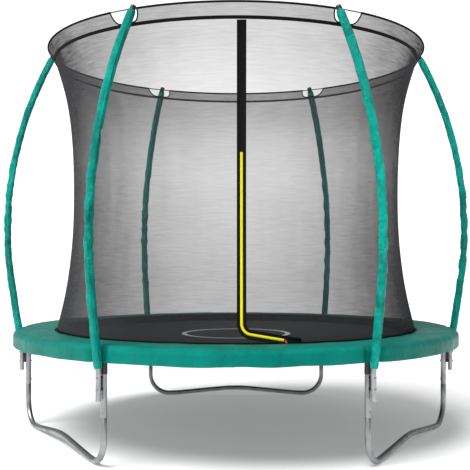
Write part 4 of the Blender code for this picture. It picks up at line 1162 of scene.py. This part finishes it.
def pad_outline():
    """(radius, height, share that a pole presses in) round the section, inner edge first."""
    roll = np.linspace(math.pi, math.pi / 2, 7)
    inner = np.stack([PAD_INNER + 0.009 + 0.009 * np.cos(roll),
                      PAD_UNDER + 0.011 + 0.009 * np.sin(roll)], -1)
    across_top = np.linspace(0, 1, 22)[1:-1, None]
    shoulder_start = np.array([PAD_OUTER - 0.030, PAD_TOP - 0.0030])
    top = inner[-1] + (shoulder_start - inner[-1]) * across_top
    top[:, 1] += 0.0035 * np.sin(math.pi * across_top[:, 0])
    roll = np.linspace(math.pi / 2, 0, 12)
    shoulder = np.stack([PAD_OUTER - 0.030 + 0.030 * np.cos(roll),
                         PAD_TOP - 0.033 + 0.030 * np.sin(roll)], -1)
    skirt = np.stack([np.full(12, PAD_OUTER), np.linspace(PAD_TOP - 0.036, PAD_HEM + 0.002, 12)], -1)
    hem = np.array([[PAD_OUTER - 0.0006, PAD_HEM + 0.0006], [PAD_OUTER - 0.0018, PAD_HEM],
                    [PAD_OUTER - 0.0026, PAD_HEM + 0.001]])
    behind = np.stack([np.full(5, PAD_OUTER - 0.003), np.linspace(PAD_HEM + 0.004, PAD_UNDER, 5)], -1)
    under = np.stack([np.linspace(PAD_OUTER - 0.012, PAD_INNER + 0.002, 12), np.full(12, PAD_UNDER)], -1)
    return np.concatenate([inner, top, shoulder, skirt, hem, behind, under])


def pad():
    """Outline carried round: pressed in at the poles, grooved at the seams, wavy in between."""
    outline = pad_outline()
    turn = np.linspace(0, math.tau, 1260, endpoint=False)
    length = run_length(outline)
    t, k = np.meshgrid(turn, np.arange(len(outline)), indexing="ij")
    r, z = outline[k, 0].copy(), outline[k, 1].copy()
    off = (t - PITCH / 2) % PITCH
    off = np.minimum(off, PITCH - off) * PAD_OUTER
    moves = np.clip((r - (PAD_OUTER - 0.045)) / 0.040, 0, 1)
    r = r - moves * PAD_DENT * 1 / (1 + (off / 0.046) ** 6)
    top_side = (length[k] < length[48]) & (z > PAD_UNDER + 0.004)
    skirt_side = np.clip((PAD_TOP - 0.02 - z) / 0.05, 0, 1) * (r > PAD_OUTER - 0.05)
    arc = t * PAD_OUTER
    z = z + top_side * 0.0008 * crumple(arc, r, 0.16, 3)
    r = r + skirt_side * (0.0011 * crumple(arc, z, 0.22, 5) + 0.0006 * crumple(arc, z, 0.06, 6))
    pull = pulse(off, 0.0, 0.11) * np.sin(off / 0.0075 + 14 * (r - PAD_OUTER)) * 0.0007
    z = z + top_side * pull * np.clip((r - PAD_INNER - 0.08) / 0.08, 0, 1)
    groove = pulse(off, 0.0, 0.0035) + pulse((t + 0.001) % (PITCH / 2) * PAD_OUTER, 0.0, 0.0035)
    z = z - top_side * 0.0016 * np.minimum(groove, 1)
    ripple = 0.0024 * crumple(arc, 0 * arc, 0.30, 8)
    z = np.where(z < PAD_HEM + 0.012, z + np.maximum(ripple, -0.0024) + 0.0024, z)
    made = piece("pad_cover", [grid(polar(t, r, z), round_u=True, round_v=True, u=turn * PAD_OUTER,
                                    v=length)], PAD_VINYL, "spring_pad", sharp=80)


pad()

# %% [markdown]
# A row of stitching holds the cover round its inner edge. A stitch is a short bar, 7 mm long with a
# gap of 4 mm, in thread a shade darker than the vinyl.

# %% Stitching
STITCH, GAP, STITCH_LEAN = 0.007, 0.004, math.pi / 2 - 0.1
THREAD = moulded("polyester_thread", "#03493f", 0.6, 0.001)


def stitches(radius, height):
    """Row of small boxes round the axis, each turned to its own azimuth."""
    count = int(math.tau * radius / (STITCH + GAP))
    azimuth = np.arange(count) * math.tau / count
    out = polar(azimuth, math.cos(STITCH_LEAN), math.sin(STITCH_LEAN))
    side = np.stack([np.cos(azimuth), np.sin(azimuth), 0 * azimuth], -1)
    return boxes(polar(azimuth, radius, height), side, np.cross(out, side), out,
                 (STITCH / 2, 0.0006, 0.0005))


piece("pad_stitching", [stitches(PAD_INNER + 0.018, PAD_TOP - 0.0045)], THREAD, sharp=30)

# %% [markdown]
# ## Studio
# A pale floor and soft light, as in a catalogue. A wide sun stands overhead, because a single
# lamp near the object would light one side of the ring far more than the other. Two faint lamps,
# left and in front, put soft edges on the tubes, and a dim even surround fills the rest. The floor
# glows slightly, which keeps the shadow under the mat pale. The camera stands level, a little
# above the mat, with a small shift so that uprights stay upright.

# %% Lamps
def lamp(name, place, aim, size, power):
    """Square soft light that points from its place to its aim."""
    light = bpy.data.lights.new(name, "AREA")
    light.size = size
    light.energy = power
    made = bpy.data.objects.new(name, light)
    bpy.context.scene.collection.objects.link(made)
    made.location = place
    direction = np.array(aim, float) - np.array(place, float)
    flat = math.hypot(direction[0], direction[1])
    made.rotation_euler = (math.pi / 2 + math.atan2(direction[2], flat), 0,
                           math.atan2(direction[1], direction[0]) - math.pi / 2)


lamp("left", (-5.5, -3.5, 2.5), (0, 0, 1.0), 3.0, 30)
lamp("front", (0.5, -7.5, 2.2), (0, 0, 0.6), 4.0, 30)
sun = bpy.data.lights.new("overhead", "SUN")
sun.energy = 4.4
sun.angle = math.radians(35)
overhead = bpy.data.objects.new("overhead", sun)
bpy.context.scene.collection.objects.link(overhead)
overhead.rotation_euler = (math.radians(24), math.radians(-22), 0.0)
print("lamps", len(bpy.data.lights))

# %% Floor and surround
floor_points = np.array([[[x, y, -0.0006] for x in (-30.0, 30.0)] for y in (-30.0, 30.0)])
floor_finish, tree, shader, place = new_finish("studio_floor", "#e8e8e8", 0.9)
speckle = add(tree, "TexNoise", {"Vector": place, "Scale": 1 / 1.5, "Detail": 2.0, "Roughness": 0.55})
speckle = add(tree, "Mix", {"Factor": speckle, "A": "#e4e4e4", "B": "#e0e0e0"}, "Result", data_type="RGBA")
fill(shader, {"Base Color": speckle, "Emission Color": "#ffffff", "Emission Strength": 0.22})
piece("studio_floor", [grid(floor_points)], floor_finish, body=None, outward=False)

world = bpy.data.worlds.new("studio")
world.use_nodes = True
seen = add(world.node_tree, "LightPath", {}, "Is Camera Ray")
strength = add(world.node_tree, "MapRange", {"Value": seen, "To Min": 0.34, "To Max": 1.3})
fill(world.node_tree.nodes["Background"], {"Color": "#ffffff", "Strength": strength})
bpy.context.scene.world = world
bpy.context.scene.view_settings.view_transform = "Standard"

# %% Camera
camera_data = bpy.data.cameras.new("camera")
camera_data.lens = 63.84
camera_data.sensor_width = 36.0
camera_data.shift_x = -0.002
camera_data.shift_y = 0.0498
camera = bpy.data.objects.new("camera", camera_data)
camera.location = (0.0, -4.826, 0.959)
camera.rotation_euler = (math.pi / 2, 0.0, 0.0)
bpy.context.scene.collection.objects.link(camera)
bpy.context.scene.camera = camera
print("camera at", tuple(round(x, 3) for x in camera.location))
